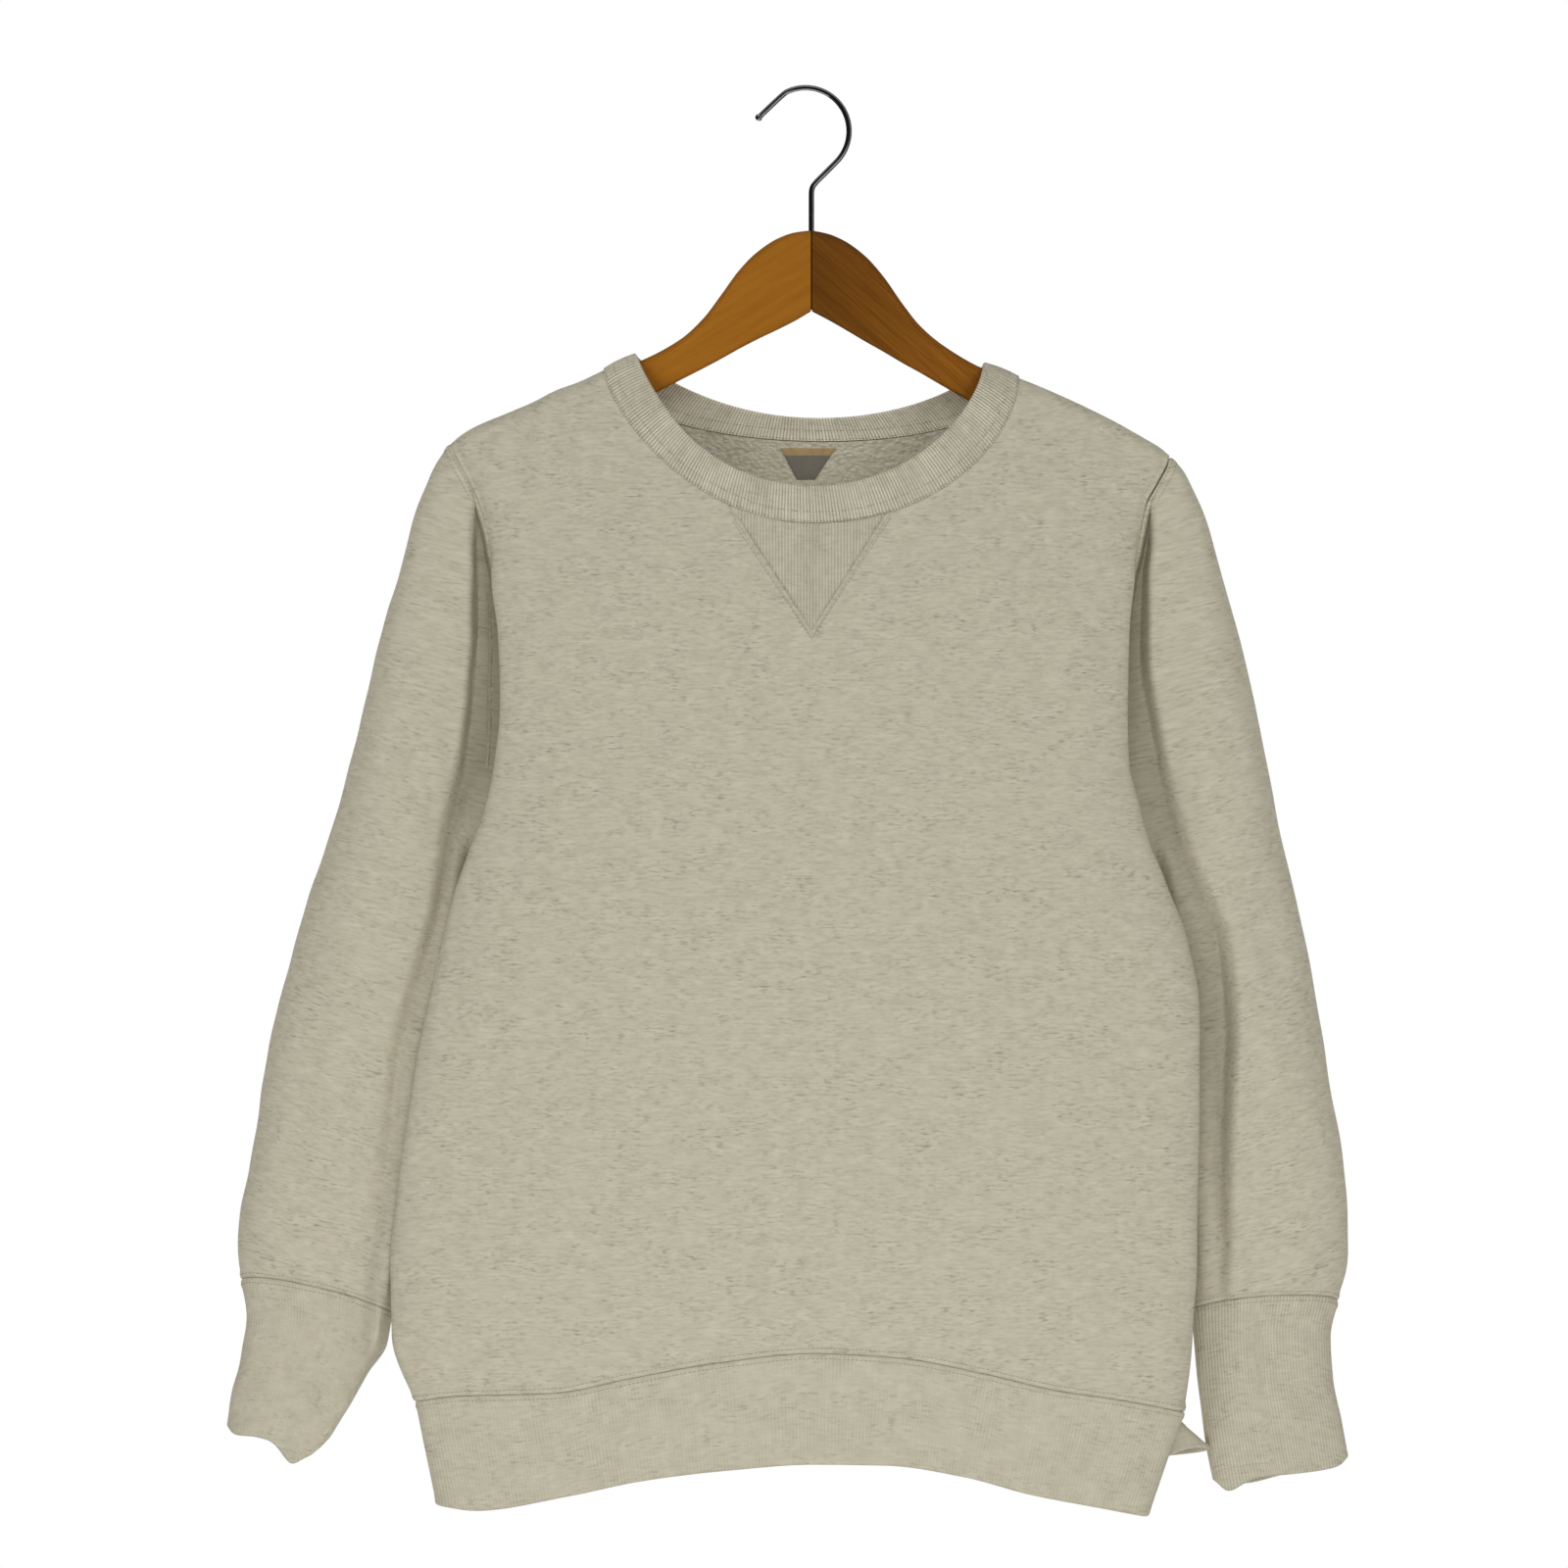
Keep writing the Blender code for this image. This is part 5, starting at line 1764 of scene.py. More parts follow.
@dataclass(frozen=True)
class StitchRow:
    """A row of lockstitches: short rounded beads of thread laid end to end along a line.

    Attributes:
        pitch: From one stitch to the next, in mm.
        gap: Between the ends of two stitches, in mm.
        radius: Of the thread, in mm.
        sink: How far the thread's middle lies under the skin, in mm.
        sides: Number of sides round the thread.
        stations: Place along half a stitch and share of the radius of each ring of points.
    """

    pitch: float = 2.7
    gap: float = 0.6
    radius: float = 0.26
    sink: float = 0.08
    sides: int = 6
    stations: tuple[tuple[float, float], ...] = ((-1, 0.3), (-0.68, 0.96), (0.68, 0.96), (1, 0.3))

    def faces(self) -> Array:
        """Faces of one bead, as rows of vertex numbers.

        Returns:
            Four vertex numbers for each face.
        """
        around = np.arange(self.sides)
        after = (around + 1) % self.sides
        bases = np.arange(len(self.stations)) * self.sides
        quads = [
            np.stack([a + around, a + after, b + after, b + around], -1)
            for a, b in zip(bases, bases[1:])
        ]
        for ends in (bases[0] + around[::-1], bases[-1] + around):
            quads.append(np.stack([ends[[0, 1, 2, 3]], ends[[0, 3, 4, 5]]]))
        return np.concatenate(quads)

    def beads(self, line: Array, normals: Array, closed: bool) -> tuple[Array, Array]:
        """Lay the stitches.

        Args:
            line: Points on the cloth that the row runs through, in mm.
            normals: The cloth's normals there.
            closed: Whether the row goes all the way round.

        Returns:
            The vertices, in mm, and the faces.
        """
        if closed:
            line, normals = (np.concatenate([row, row[:1]]) for row in (line, normals))
        reach = reach_along(line)
        count = max(1, int(reach[-1] / self.pitch))
        step = reach[-1] / count
        middle = (np.arange(count) + 0.5) * step
        along, fat = np.array(self.stations).T

        def read(where: Array, values: Array) -> Array:
            """Values on the line at given distances along it."""
            return np.stack([np.interp(where, reach, values[:, k]) for k in range(3)], -1)

        spots = read(middle[:, None] + along * ((step - self.gap) / 2), line)
        up = unit(read(middle, normals))
        aside = unit(np.cross(up, unit(spots[:, -1] - spots[:, 0])))
        turn = 2 * math.pi * np.arange(self.sides)[:, None] / self.sides
        offset = aside[:, None] * np.cos(turn) + up[:, None] * np.sin(turn)
        shift = offset[:, None] * self.radius * fat[None, :, None, None]
        vertices = (spots - up[:, None] * self.sink)[:, :, None] + shift
        starts = np.arange(count) * len(self.stations) * self.sides
        return vertices.reshape(-1, 3), (self.faces() + starts[:, None, None]).reshape(-1, 4)

    def sew(self, name: str, rows: list[Row], thread: Material) -> None:
        """Make one piece of several rows of stitches.

        Args:
            name: Name of the piece.
            rows: For each row its line, its normals and whether it is closed.
            thread: The thread's material.
        """
        vertices, faces, count = [], [], 0
        for row in rows:
            spots, quads = self.beads(*row)
            vertices.append(spots)
            faces.append(quads + count)
            count += len(spots)
        thing = mesh_object(name, np.concatenate(vertices), np.concatenate(faces), [thread])
        carry(thing, FLEECE)


# --- the garment's pieces -------------------------------------------------------------------

RIB_STEPS = 6
SOFT_SEAM = {"seam_depth": 0.35, "seam_width": 0.6}
Shape = Callable[[Any, Face, Any], Array]

BODY_FOLDS = (
    Fold(((67, 431), (92, 480), (121, 533)), 9, -1.3),
    Fold(((-152, 500), (-150, 540), (-152, 585)), 9, -0.8),
    Fold(((-212, 462), (-206, 490), (-203, 512)), 4, -1.1),
    Fold(((-217, 480), (-216, 540)), 4, -0.7),
    Fold(((79, 805), (100, 826), (124, 846)), 7, -0.7),
    Fold(((-60, 640), (-48, 720), (-40, 800)), 22, 0.7),
    Fold(((150, 600), (160, 700), (166, 790)), 24, 0.8),
    Fold(((-170, 640), (-176, 720), (-180, 800)), 20, 0.8),
    Fold(((-60, 430), (-92, 490), (-124, 545)), 10, -1.3, Face.BACK),
    Fold(((148, 505), (150, 590)), 9, -0.9, Face.BACK),
    Fold(((205, 470), (203, 520)), 5, -1.0, Face.BACK),
    Fold(((30, 330), (36, 460), (20, 600)), 24, -0.9, Face.BACK),
    Fold(((-110, 640), (-120, 790)), 22, 0.8, Face.BACK),
    Fold(((90, 660), (100, 800)), 24, 0.9, Face.BACK),
)
ARM_FOLDS = {
    Side.RIGHT: (
        Fold(((-249, 380), (-240, 420), (-232, 455)), 8, -1.5),
        Fold(((-280, 598), (-288, 625), (-296, 655)), 5, -1.4),
        Fold(((-318, 605), (-311, 635), (-303, 665)), 8, -0.9),
        Fold(((-319, 706), (-319, 734)), 4, -1.2),
        Fold(((-292, 738), (-272, 748), (-255, 758)), 4, -0.9),
        Fold(((-290, 778), (-282, 795), (-276, 808)), 5, -1.1),
        Fold(((-335, 700), (-330, 728)), 5, 0.8),
        Fold(((-268, 520), (-290, 470)), 14, 0.8),
        Fold(((-244, 390), (-262, 450)), 9, -1.5, Face.BACK),
        Fold(((-262, 560), (-300, 590), (-330, 600)), 7, -1.6, Face.BACK),
        Fold(((-270, 610), (-300, 640)), 7, -1.3, Face.BACK),
        Fold(((-300, 705), (-306, 735)), 5, -1.1, Face.BACK),
    ),
    Side.LEFT: (
        Fold(((270, 462), (280, 520), (293, 578)), 10, -1.4),
        Fold(((296, 744), (308, 730), (322, 714)), 5, -1.3),
        Fold(((245, 668), (247, 700), (246, 728)), 4, 1.1),
        Fold(((280, 752), (280, 784)), 6, -1.1),
        Fold(((262, 706), (268, 736)), 5, -0.8),
        Fold(((300, 640), (310, 690)), 14, 0.8),
        Fold(((250, 400), (272, 470)), 9, -1.5, Face.BACK),
        Fold(((252, 560), (280, 590), (306, 600)), 7, -1.6, Face.BACK),
        Fold(((256, 620), (288, 650)), 7, -1.3, Face.BACK),
        Fold(((284, 705), (288, 740)), 5, -1.1, Face.BACK),
    ),
}


@dataclass(frozen=True)
class Finishes:
    """The materials of the cloth and the thread."""

    fleece: Material
    loops: Material
    rib: Material
    soft_rib: Material
    cuff_rib: Material
    inside_rib: Material
    gusset_rib: Material
    thread: Material
    label: Material

    @classmethod
    def make(cls) -> Finishes:
        """Make the materials.

        Returns:
            All the materials.
        """
        brushed = {"streak_share": 0.3, "fleck_share": 0.6}
        finishes = {
            "fleece": HeatherFleece(),
            "loops": LoopbackInside(),
            "rib": HeatherRib(),
            "soft_rib": HeatherRib(
                "heather_rib_soft",
                "#CAC4AF",
                "#BFB9A4",
                furrow_shade=0.2,
                patchy=True,
                pitch=2.0,
                uneven=0.08,
                **brushed,
            ),
            "cuff_rib": HeatherRib(
                "heather_rib_cuff", "#CFC9B4", "#C3BDA8", furrow_shade=0.3, uneven=0.12, **brushed
            ),
            # The collar's inner face: a paler copy of the rib, painted light for the inner back
            # neck, which the lamps light less.
            "inside_rib": HeatherRib("heather_rib_inside", "#F3ECD5", "#EBE4CD"),
            "gusset_rib": HeatherRib("heather_rib_v", "#D1CBB6", "#C6C0AB", furrow_shade=0.4),
            "thread": SewingCotton(),
            "label": WovenLabel(),
        }
        return cls(**{name: finish.build() for name, finish in finishes.items()})


@dataclass(frozen=True)
class PanelGrid:
    """How the grid of the front or the back is laid out.

    Attributes:
        inner: Column up to which the columns are even across the body.
        steps: Number of such columns.
        outer: Stretches of closer columns outside them.
        middle: Number of rows between the closer ones at the top and at the hem seam.
        ends: Share of the drop and number of the closer rows at the top and at the hem seam.
    """

    inner: float
    steps: int
    outer: tuple[Stretch, ...]
    middle: int
    ends: tuple[tuple[float, int], tuple[float, int]] = ((0.014, 12), (0.982, 14))

    def drops(self) -> Array:
        """Shares of the drop, one for each row."""
        (top, first), (foot, last) = self.ends
        return runs((0.0, top, first), (top, foot, self.middle), (foot, 1.0, last))


PANEL_GRIDS = {
    Face.FRONT: PanelGrid(11.0, 66, ((11.0, 12.0, 16), (12.0, 13.0, 9)), 196),
    Face.BACK: PanelGrid(12.0, 64, ((12.0, 13.0, 8),), 140),
}


@dataclass
class BodyCloth:
    """Front, back, collar, V gusset, hem band and neck label."""

    form: BodyForm
    finish: Finishes
    jersey: float = 2.0
    rib: float = 2.6
    rib_pitch: float = 1.82
    rib_height: float = 0.38
    rib_round: float = 0.8
    collar_rows: tuple[Stretch, ...] = (
        (0.0, 0.06, 3), (0.06, 0.87, 5), (0.87, 0.95, 2), (0.95, 1.0, 5)
    )
    collar_seam: tuple[float, float] = (0.4, 0.6)
    collar_stitches: tuple[float, ...] = (1.4, 7.0)
    collar_inner_stitches: tuple[float, ...] = (1.2, 7.0)
    hem_stitch: float = 3.2
    hem_pitch: float = 2.0
    hem_steps: tuple[int, int] = (220, 200)
    hem_rows: tuple[Stretch, ...] = ((0.0, 0.09, 8), (0.09, 0.95, 26), (0.95, 1.0, 6))
    band_stitch: float = 3.0
    hem_smooths: int = 3
    fold_smooths: int = 8
    fold_columns: tuple[float, float] = (11.3, 12.9)
    fold_fade: float = 0.4
    crease_free: float = 0.03
    hem_ridge: Ridge = Ridge(3.2, 2.2, 0.45)
    neck_ridge: Ridge = Ridge(3.4, 1.8, 0.25)
    band_ridge: Ridge = Ridge(3.0, 2.0, 0.4)
    edge_ridge: Ridge = Ridge(1.5, 3.0, 0.3)
    label_wall: float = 0.7
    label_off: float = 0.5
    label_seam: float = 0.6
    label_grid: tuple[int, int] = (14, 22)
    label_top: Point = (-19.0, 15.0, 219.0)
    label_foot: Point = (-9.0, 2.0, 238.5)
    gusset_wall: float = 1.0
    gusset_edge: float = 4.2
    gusset_half_top: float = 45.5
    gusset_tip: float = 330.5
    gusset_angle: float = 20.0
    gusset_sway: float = 0.5
    gusset_blunt: float = 0.4
    gusset_grid: tuple[Stretch, ...] = ((0.0, 0.03, 4), (0.03, 1.0, 34))
    gusset_columns: int = 321
    gusset_seam: float = 0.3
    gusset_lift: float = 0.75
    gusset_ribs: tuple[float, float] = (0.4, 0.5)
    gusset_jersey: float = 0.1
    gusset_ridge: Ridge = Ridge(-1.3, 0.8, 0.75)
    gusset_trough: Ridge = Ridge(0.15, 0.55, -0.85)
    gusset_sink: float = 1.35
    gusset_sink_out: tuple[float, float] = (2.0, 1.8)
    gusset_stitch_drop: float = 2.0
    gusset_rows: tuple[tuple[float, float], ...] = ((3.2, 1.0), (-1.7, 1.3))
    waves: Waves = Waves()

    def columns(self, face: Face) -> Array:
        """Columns of a panel, even across the body and closer at the turned-back edge.

        Args:
            face: Which face of the garment.

        Returns:
            The columns, from the right seam to the left one.
        """
        shares, plan = self.form.shares, PANEL_GRIDS[face]
        reach = float(shares.at(plan.inner, face.value))
        keys = np.linspace(0, plan.inner, 400)
        even = np.linspace(0, reach, plan.steps, endpoint=False)
        across = np.interp(even, shares.at(keys, face.value), keys)
        half = np.concatenate([across, runs(*plan.outer)])
        return np.concatenate([-half[:0:-1], half])

    def panel(self, face: Face) -> Cloth:
        """The front or the back, with its creases.

        Args:
            face: Which face of the garment.

        Returns:
            The cloth.
        """
        columns, drops = self.columns(face), PANEL_GRIDS[face].drops()
        shape = self.form.front if face is Face.FRONT else self.form.back
        grid = shape(columns[None, :], drops[:, None])
        if face is Face.FRONT:
            grid = self.rounded(grid, columns)
        outward = (120, len(columns) // 2, face.ahead)
        cloth = Cloth(f"{face.value}_cloth", grid, outward, self.jersey)
        cloth.crease(BODY_FOLDS, self.waves, smoothstep(drops / self.crease_free)[:, None])
        down, up = cloth.ends()
        neck = np.abs(columns)[None, :] <= self.form.neck_column
        cloth.relief = self.hem_ridge.at(up) + np.where(neck, self.neck_ridge.at(down), 0.0)
        return cloth

    def rounded(self, grid: Array, columns: Array) -> Array:
        """Round the folded side edges of the front, keeping them as far out as they are.

        Args:
            grid: The front's points.
            columns: The column of each of the grid's columns.

        Returns:
            The rounded grid.
        """
        count = np.abs(columns)
        first, last = self.fold_columns
        share = smoothstep((count - first) / self.fold_fade)
        share = share * smoothstep((last - count) / self.fold_fade)
        was = np.abs(grid[..., 0])
        soft = grid.copy()
        for _ in range(self.fold_smooths):
            near = (soft[:, :-2] + 2 * soft[:, 1:-1] + soft[:, 2:]) / 4
            soft[:, 1:-1] += (near - soft[:, 1:-1]) * share[None, 1:-1, None]
        for side in (columns < 0, columns > 0):
            lost = was[:, side].max(axis=1) - np.abs(soft[:, side, 0]).max(axis=1)
            sign = np.sign(columns[side][0])
            soft[:, side, 0] += sign * lost[:, None] * share[None, side]
        return soft

    def band_grid(
        self, shape: Shape, ends: int, across: Array, steps: tuple[int, int] | None = None
    ) -> Array:
        """Points of a closed band, evenly spaced all the way round.

        Args:
            shape: Gives the band's points from columns, a face and shares across the band.
            ends: The last column on each side.
            across: Shares across the band, one for each row.
            steps: Number of steps on the front and on the back, or None for one rib every
                few steps.

        Returns:
            The points in mm, the front's first.
        """
        keys = np.linspace(-float(ends), float(ends), 1500)
        lines = [shape(keys, Face.FRONT, 0.5), shape(keys[::-1], Face.BACK, 0.5)]
        if steps is None:
            ribs = (round(reach_along(line)[-1] / self.rib_pitch) for line in lines)
            steps = tuple(count * RIB_STEPS for count in ribs)
        around = [even_keys(keys, lines[0], steps[0]), even_keys(keys[::-1], lines[1], steps[1])]
        columns = np.concatenate(around)[None, :]
        ahead = (np.arange(sum(steps)) < steps[0])[None, :, None]
        rows = across[:, None]
        return np.where(ahead, shape(columns, Face.FRONT, rows), shape(columns, Face.BACK, rows))

    def collar_band(self) -> Cloth:
        """The ribbed collar, with each rib's own relief.

        Returns:
            The cloth.
        """
        across = runs(*self.collar_rows)
        grid = self.band_grid(self.form.collar, self.form.neck_column, across)
        rise = 0.5 + 0.5 * np.cos(2 * math.pi * np.arange(grid.shape[1]) / RIB_STEPS)
        relief = self.rib_height * np.broadcast_to(rise**self.rib_round, grid.shape[:2])
        outward = (6, grid.shape[1] // 4, Face.FRONT.ahead)
        cloth = Cloth("collar_rib", grid, outward, self.rib, True, Border.FREE)
        cloth.relief = cloth.inner_relief = relief
        cloth.seam_depth, cloth.seam_width = self.collar_seam
        return cloth

    def hem_band(self) -> Cloth:
        """The hem band, from its seam to its folded free edge.

        Returns:
            The cloth.
        """
        across = runs(*self.hem_rows)
        grid = self.band_grid(self.form.hem, self.form.seam_column, across, self.hem_steps)
        for _ in range(self.hem_smooths):
            grid = (np.roll(grid, 1, 1) + 2 * grid + np.roll(grid, -1, 1)) / 4
        outward = (20, 110, Face.FRONT.ahead)
        cloth = Cloth("hem_band", grid, outward, self.rib, True, Border.FREE, **SOFT_SEAM)
        cloth.crease(BODY_FOLDS, self.waves)
        down, up = cloth.ends()
        cloth.relief = self.band_ridge.at(down) + self.edge_ridge.at(up)
        return cloth

    def on_front(self, x: Array, below: Array, height: float) -> tuple[Array, Array]:
        """Places at a height above the middle of the creased front wall.

        Args:
            x: X of the places.
            below: Their distances below the origin.
            height: How far out of the wall's middle they are, in mm.

        Returns:
            The places and the normals there.
        """

        def flat(x: Array, below: Array) -> Array:
            """Places on the middle of the front wall without its creases."""
            return places(x, self.form.front_y(x, below, x >= 0), below)

        spot = flat(x, below)
        normals = unit(np.cross(flat(x + 1, below) - spot, flat(x, below + 1) - spot))
        normals = np.where(normals[..., 1:2] > 0, -normals, normals)
        lift = lifts(BODY_FOLDS, self.waves, spot, normals) + height
        return spot + normals * lift[..., None], normals

    def gusset(self) -> tuple[Cloth, Array]:
        """The ribbed V patch under the collar, and the jersey's raised edge round it.

        Returns:
            The cloth, and the distance of each point inside the V's edge.
        """
        neck = self.form.front_neck
        start = float(neck.at(self.gusset_angle)[1])
        height = self.gusset_tip - start
        slant = math.hypot(self.gusset_half_top, height)
        cosine, sine = height / slant, self.gusset_half_top / slant
        share = runs(*self.gusset_grid)[:, None]
        half = (self.gusset_half_top + self.gusset_edge / cosine) * (1 - share)
        half = half + self.gusset_blunt * share
        x = half * np.linspace(-1, 1, self.gusset_columns) - self.gusset_sway * (1 - share)
        angle = np.degrees(np.arcsin(np.clip(x / neck.half, -1, 1)))
        top = neck.at(angle)[1] + self.gusset_blunt
        below = top + (self.gusset_tip + self.gusset_edge / sine - top) * share
        middle = -self.gusset_sway * (self.gusset_tip - below) / height
        inside = (self.gusset_half_top * (self.gusset_tip - below) / height) * cosine
        inside = inside - np.abs(x - middle) * cosine
        ribs = (0.5 + 0.5 * np.cos(2 * math.pi * x / self.rib_pitch)) ** self.rib_round
        start_in, fade_in = self.gusset_ribs
        start_out, fade_out = self.gusset_sink_out
        raised = self.rib_height * ribs * smoothstep((inside - start_in) / fade_in)
        relief = self.gusset_lift + raised
        relief += self.gusset_ridge.at(inside) + self.gusset_trough.at(inside)
        relief -= self.gusset_sink * smoothstep((-inside - start_out) / fade_out)
        grid, _ = self.on_front(x, below, self.jersey / 2 - self.gusset_wall / 2)
        patch = Cloth("v_gusset", grid, (20, 160, Face.FRONT.ahead), self.gusset_wall)
        patch.sides = patch.bottom = Border.NONE
        patch.relief, patch.seam_depth = relief, self.gusset_seam
        return patch, inside

    def gusset_stitches(self) -> list[Row]:
        """Stitch rows along both sides of the V: one on the jersey and one on the patch.

        Returns:
            The rows, each open.
        """
        rows = []
        top, tip = self.gusset_half_top, self.gusset_tip
        start = float(self.form.front_neck.at(self.gusset_angle)[1]) + self.gusset_stitch_drop
        slant = math.hypot(top, tip - start)
        share = np.linspace(0.0, 1.0, 60)
        for aside, height in self.gusset_rows:
            out, down = aside * slant / (tip - start), aside * slant / top
            right = -(top + out) * (1 - share) - self.gusset_sway * (1 - share)
            left = -right[::-1] - (1 - share[::-1])
            fall = start + (tip + down - start) * share
            x = np.concatenate([right, left[1:]])
            below = np.concatenate([fall, fall[::-1][1:]])
            rows.append((*self.on_front(x, below, height), False))
        return rows

    def label(self) -> Cloth:
        """The blank label sewn on the inside of the back, just under the collar.

        Returns:
            The cloth.
        """
        share = np.linspace(0, 1, self.label_grid[0])[:, None]
        along = np.linspace(0, 1, self.label_grid[1])[None, :]
        corners = zip(self.label_top, self.label_foot)
        first, last, below = (a + (b - a) * share for a, b in corners)
        x = first + (last - first) * along
        below = np.broadcast_to(below, x.shape)
        out = self.form.breadth.at_side(below, x >= 0)
        y = self.form.back_y(x, below, out, np.zeros_like(out))
        grid = places(x, y - self.jersey / 2 - self.label_off, below)
        outward = (5, 5, Face.FRONT.ahead)
        return Cloth("label_tape", grid, outward, self.label_wall, seam_width=self.label_seam)

    def build(self) -> list[Row]:
        """Returns:
            The rows.
        """
        finish = self.finish
        front, back = self.panel(Face.FRONT), self.panel(Face.BACK)
        collar, band, tape = self.collar_band(), self.hem_band(), self.label()
        patch, inside = self.gusset()
        gusset = patch.build([finish.gusset_rib], self.patch_map(patch))
        self.face_jersey(gusset, inside)
        for panel in (front, back):
            panel.build([finish.fleece, finish.loops])
        # The collar's inner skin takes the rib's paler copy, which is painted light.
        ribbed = [finish.rib, finish.inside_rib]
        collar.build(ribbed, self.band_map(collar, self.rib_pitch / RIB_STEPS))
        band.build([finish.soft_rib], self.band_map(band, self.hem_pitch))
        tape.build([finish.label], self.patch_map(tape))
        rows = [panel.line(self.hem_stitch, from_bottom=True) for panel in (front, back)]
        rows += [band.line(self.band_stitch)]
        rows += [collar.line(place) for place in self.collar_stitches]
        rows += [collar.line(place, inside=True) for place in self.collar_inner_stitches]
        return rows + self.gusset_stitches()

    def face_jersey(self, thing: Thing, inside: Array) -> None:
        """Give the gusset's faces outside the V the jersey's material.

        Args:
            thing: The gusset.
            inside: The distance of each point inside the V's edge.
        """
        thing.data.materials.append(self.finish.fleece)
        depth = np.concatenate([inside.ravel(), inside.ravel()])
        ends = np.zeros(len(thing.data.polygons) * 4, dtype=np.int32)
        thing.data.polygons.foreach_get("vertices", ends)
        outside = depth[ends.reshape(-1, 4)].mean(axis=1) < -self.gusset_jersey
        thing.data.polygons.foreach_set("material_index", outside.astype(np.int32))

    def band_map(self, cloth: Cloth, step: float) -> Array:
        """Places on a band's flat cloth, with each column straight across the band.

        Args:
            cloth: The band.
            step: Breadth of one column, in mm.

        Returns:
            Across and down for each point, in metres.
        """
        rows, columns = cloth.points.shape[:2]
        across = np.broadcast_to(np.arange(columns) * step, (rows, columns))
        down = np.broadcast_to(cloth.gaps().mean(axis=1)[:, None], (rows, columns))
        return np.stack([across, -down], axis=-1) * MM

    def patch_map(self, cloth: Cloth) -> Array:
        """Places on a small patch's flat cloth, straight across the garment."""
        down = cloth.points[..., 2] - cloth.points[..., 2].max()
        return np.stack([cloth.points[..., 0], down], axis=-1) * MM


@dataclass
class ArmCloth:
    """One sleeve and its cuff."""

    form: ArmForm
    finish: Finishes
    jersey: float = 2.0
    rib: float = 2.6
    rib_pitch: float = 1.9
    lean: float = 13.0
    crease_free: float = 1.5
    even_ring: float = 8.0
    sleeve_steps: int = 108
    sleeve_rings: tuple[Stretch, ...] = ((0, 0.6, 12), (0.6, 2, 22), (2, 14.7, 150), (14.7, 15, 10))
    cuff_steps: int = 160
    cuff_rows: tuple[Stretch, ...] = ((0.0, 0.35, 9), (0.35, 3.75, 40), (3.75, 4.0, 7))
    hole_stitches: tuple[float, ...] = (2.0, 5.2)
    foot_stitch: float = 3.0
    cuff_stitch: float = 3.0
    hole_ridge: Ridge = Ridge(3.5, 2.4, 0.5)
    foot_ridge: Ridge = Ridge(3.0, 2.2, 0.5)
    cuff_ridge: Ridge = Ridge(3.0, 2.0, 0.45)
    waves: Waves = Waves(height=0.2, shortest=24.0, longest=80.0, seed=11)

    def steps(self, count: int) -> Array:
        """Steps round the arm from the inner fold, evenly spaced at the elbow.

        Args:
            count: Number of steps.

        Returns:
            The steps, from 0 to 22.
        """
        first = float(self.form.armpit_step)
        keys = np.linspace(first, 3 * first, 800)
        points = self.form.sleeve(self.even_ring, keys % (2 * first))
        return even_keys(keys, points, count) % (2 * first)

    def sleeve(self) -> Cloth:
        """The sleeve with its creases.

        Returns:
            The cloth.
        """
        side = self.form.side
        rings = runs(*self.sleeve_rings)
        grid = self.form.sleeve(rings[:, None], self.steps(self.sleeve_steps)[None, :])
        outward = (120, 54, (float(side.sign), 0.0, 0.0))
        cloth = Cloth(f"sleeve_{side.value}_cloth", grid, outward, self.jersey, True)
        cloth.crease(ARM_FOLDS[side], self.waves, smoothstep(rings / self.crease_free)[:, None])
        down, up = cloth.ends()
        cloth.relief = self.hole_ridge.at(down) + self.foot_ridge.at(up)
        return cloth

    def cuff(self) -> Cloth:
        """The cuff with its wavy free edge.

        Returns:
            The cloth.
        """
        side = self.form.side
        rows = runs(*self.cuff_rows)
        grid = self.form.cuff(rows[:, None], self.steps(self.cuff_steps)[None, :])
        name, outward = f"cuff_{side.value}_rib", (28, 80, (float(side.sign), 0.0, 0.0))
        cloth = Cloth(name, grid, outward, self.rib, True, Border.FREE, **SOFT_SEAM)
        cloth.crease(ARM_FOLDS[side], self.waves)
        cloth.relief = self.cuff_ridge.at(cloth.gaps())
        return cloth

    def build(self) -> list[Row]:
        """Returns:
            The rows.
        """
        side, finish = self.form.side, self.finish
        sleeve, cuff = self.sleeve(), self.cuff()
        lean = math.radians(self.lean)
        down = (side.sign * math.sin(lean), 0.0, -math.cos(lean))
        sleeve.build([finish.fleece, finish.loops], sleeve.flat_map(down))
        ribs = round(float(reach_along(cuff.points[2])[-1]) / self.rib_pitch)
        columns = cuff.points.shape[1]
        across = np.arange(columns) * ribs * self.rib_pitch / columns
        flat = np.stack(np.broadcast_arrays(across[None, :], -cuff.gaps()), axis=-1) * MM
        cuff.build([finish.cuff_rib if side is Side.LEFT else finish.soft_rib], flat)
        rows = [sleeve.line(place) for place in self.hole_stitches]
        rows += [sleeve.line(self.foot_stitch, from_bottom=True)]
        return [*rows, cuff.line(self.cuff_stitch)]


# --- the hanger -----------------------------------------------------------------------------


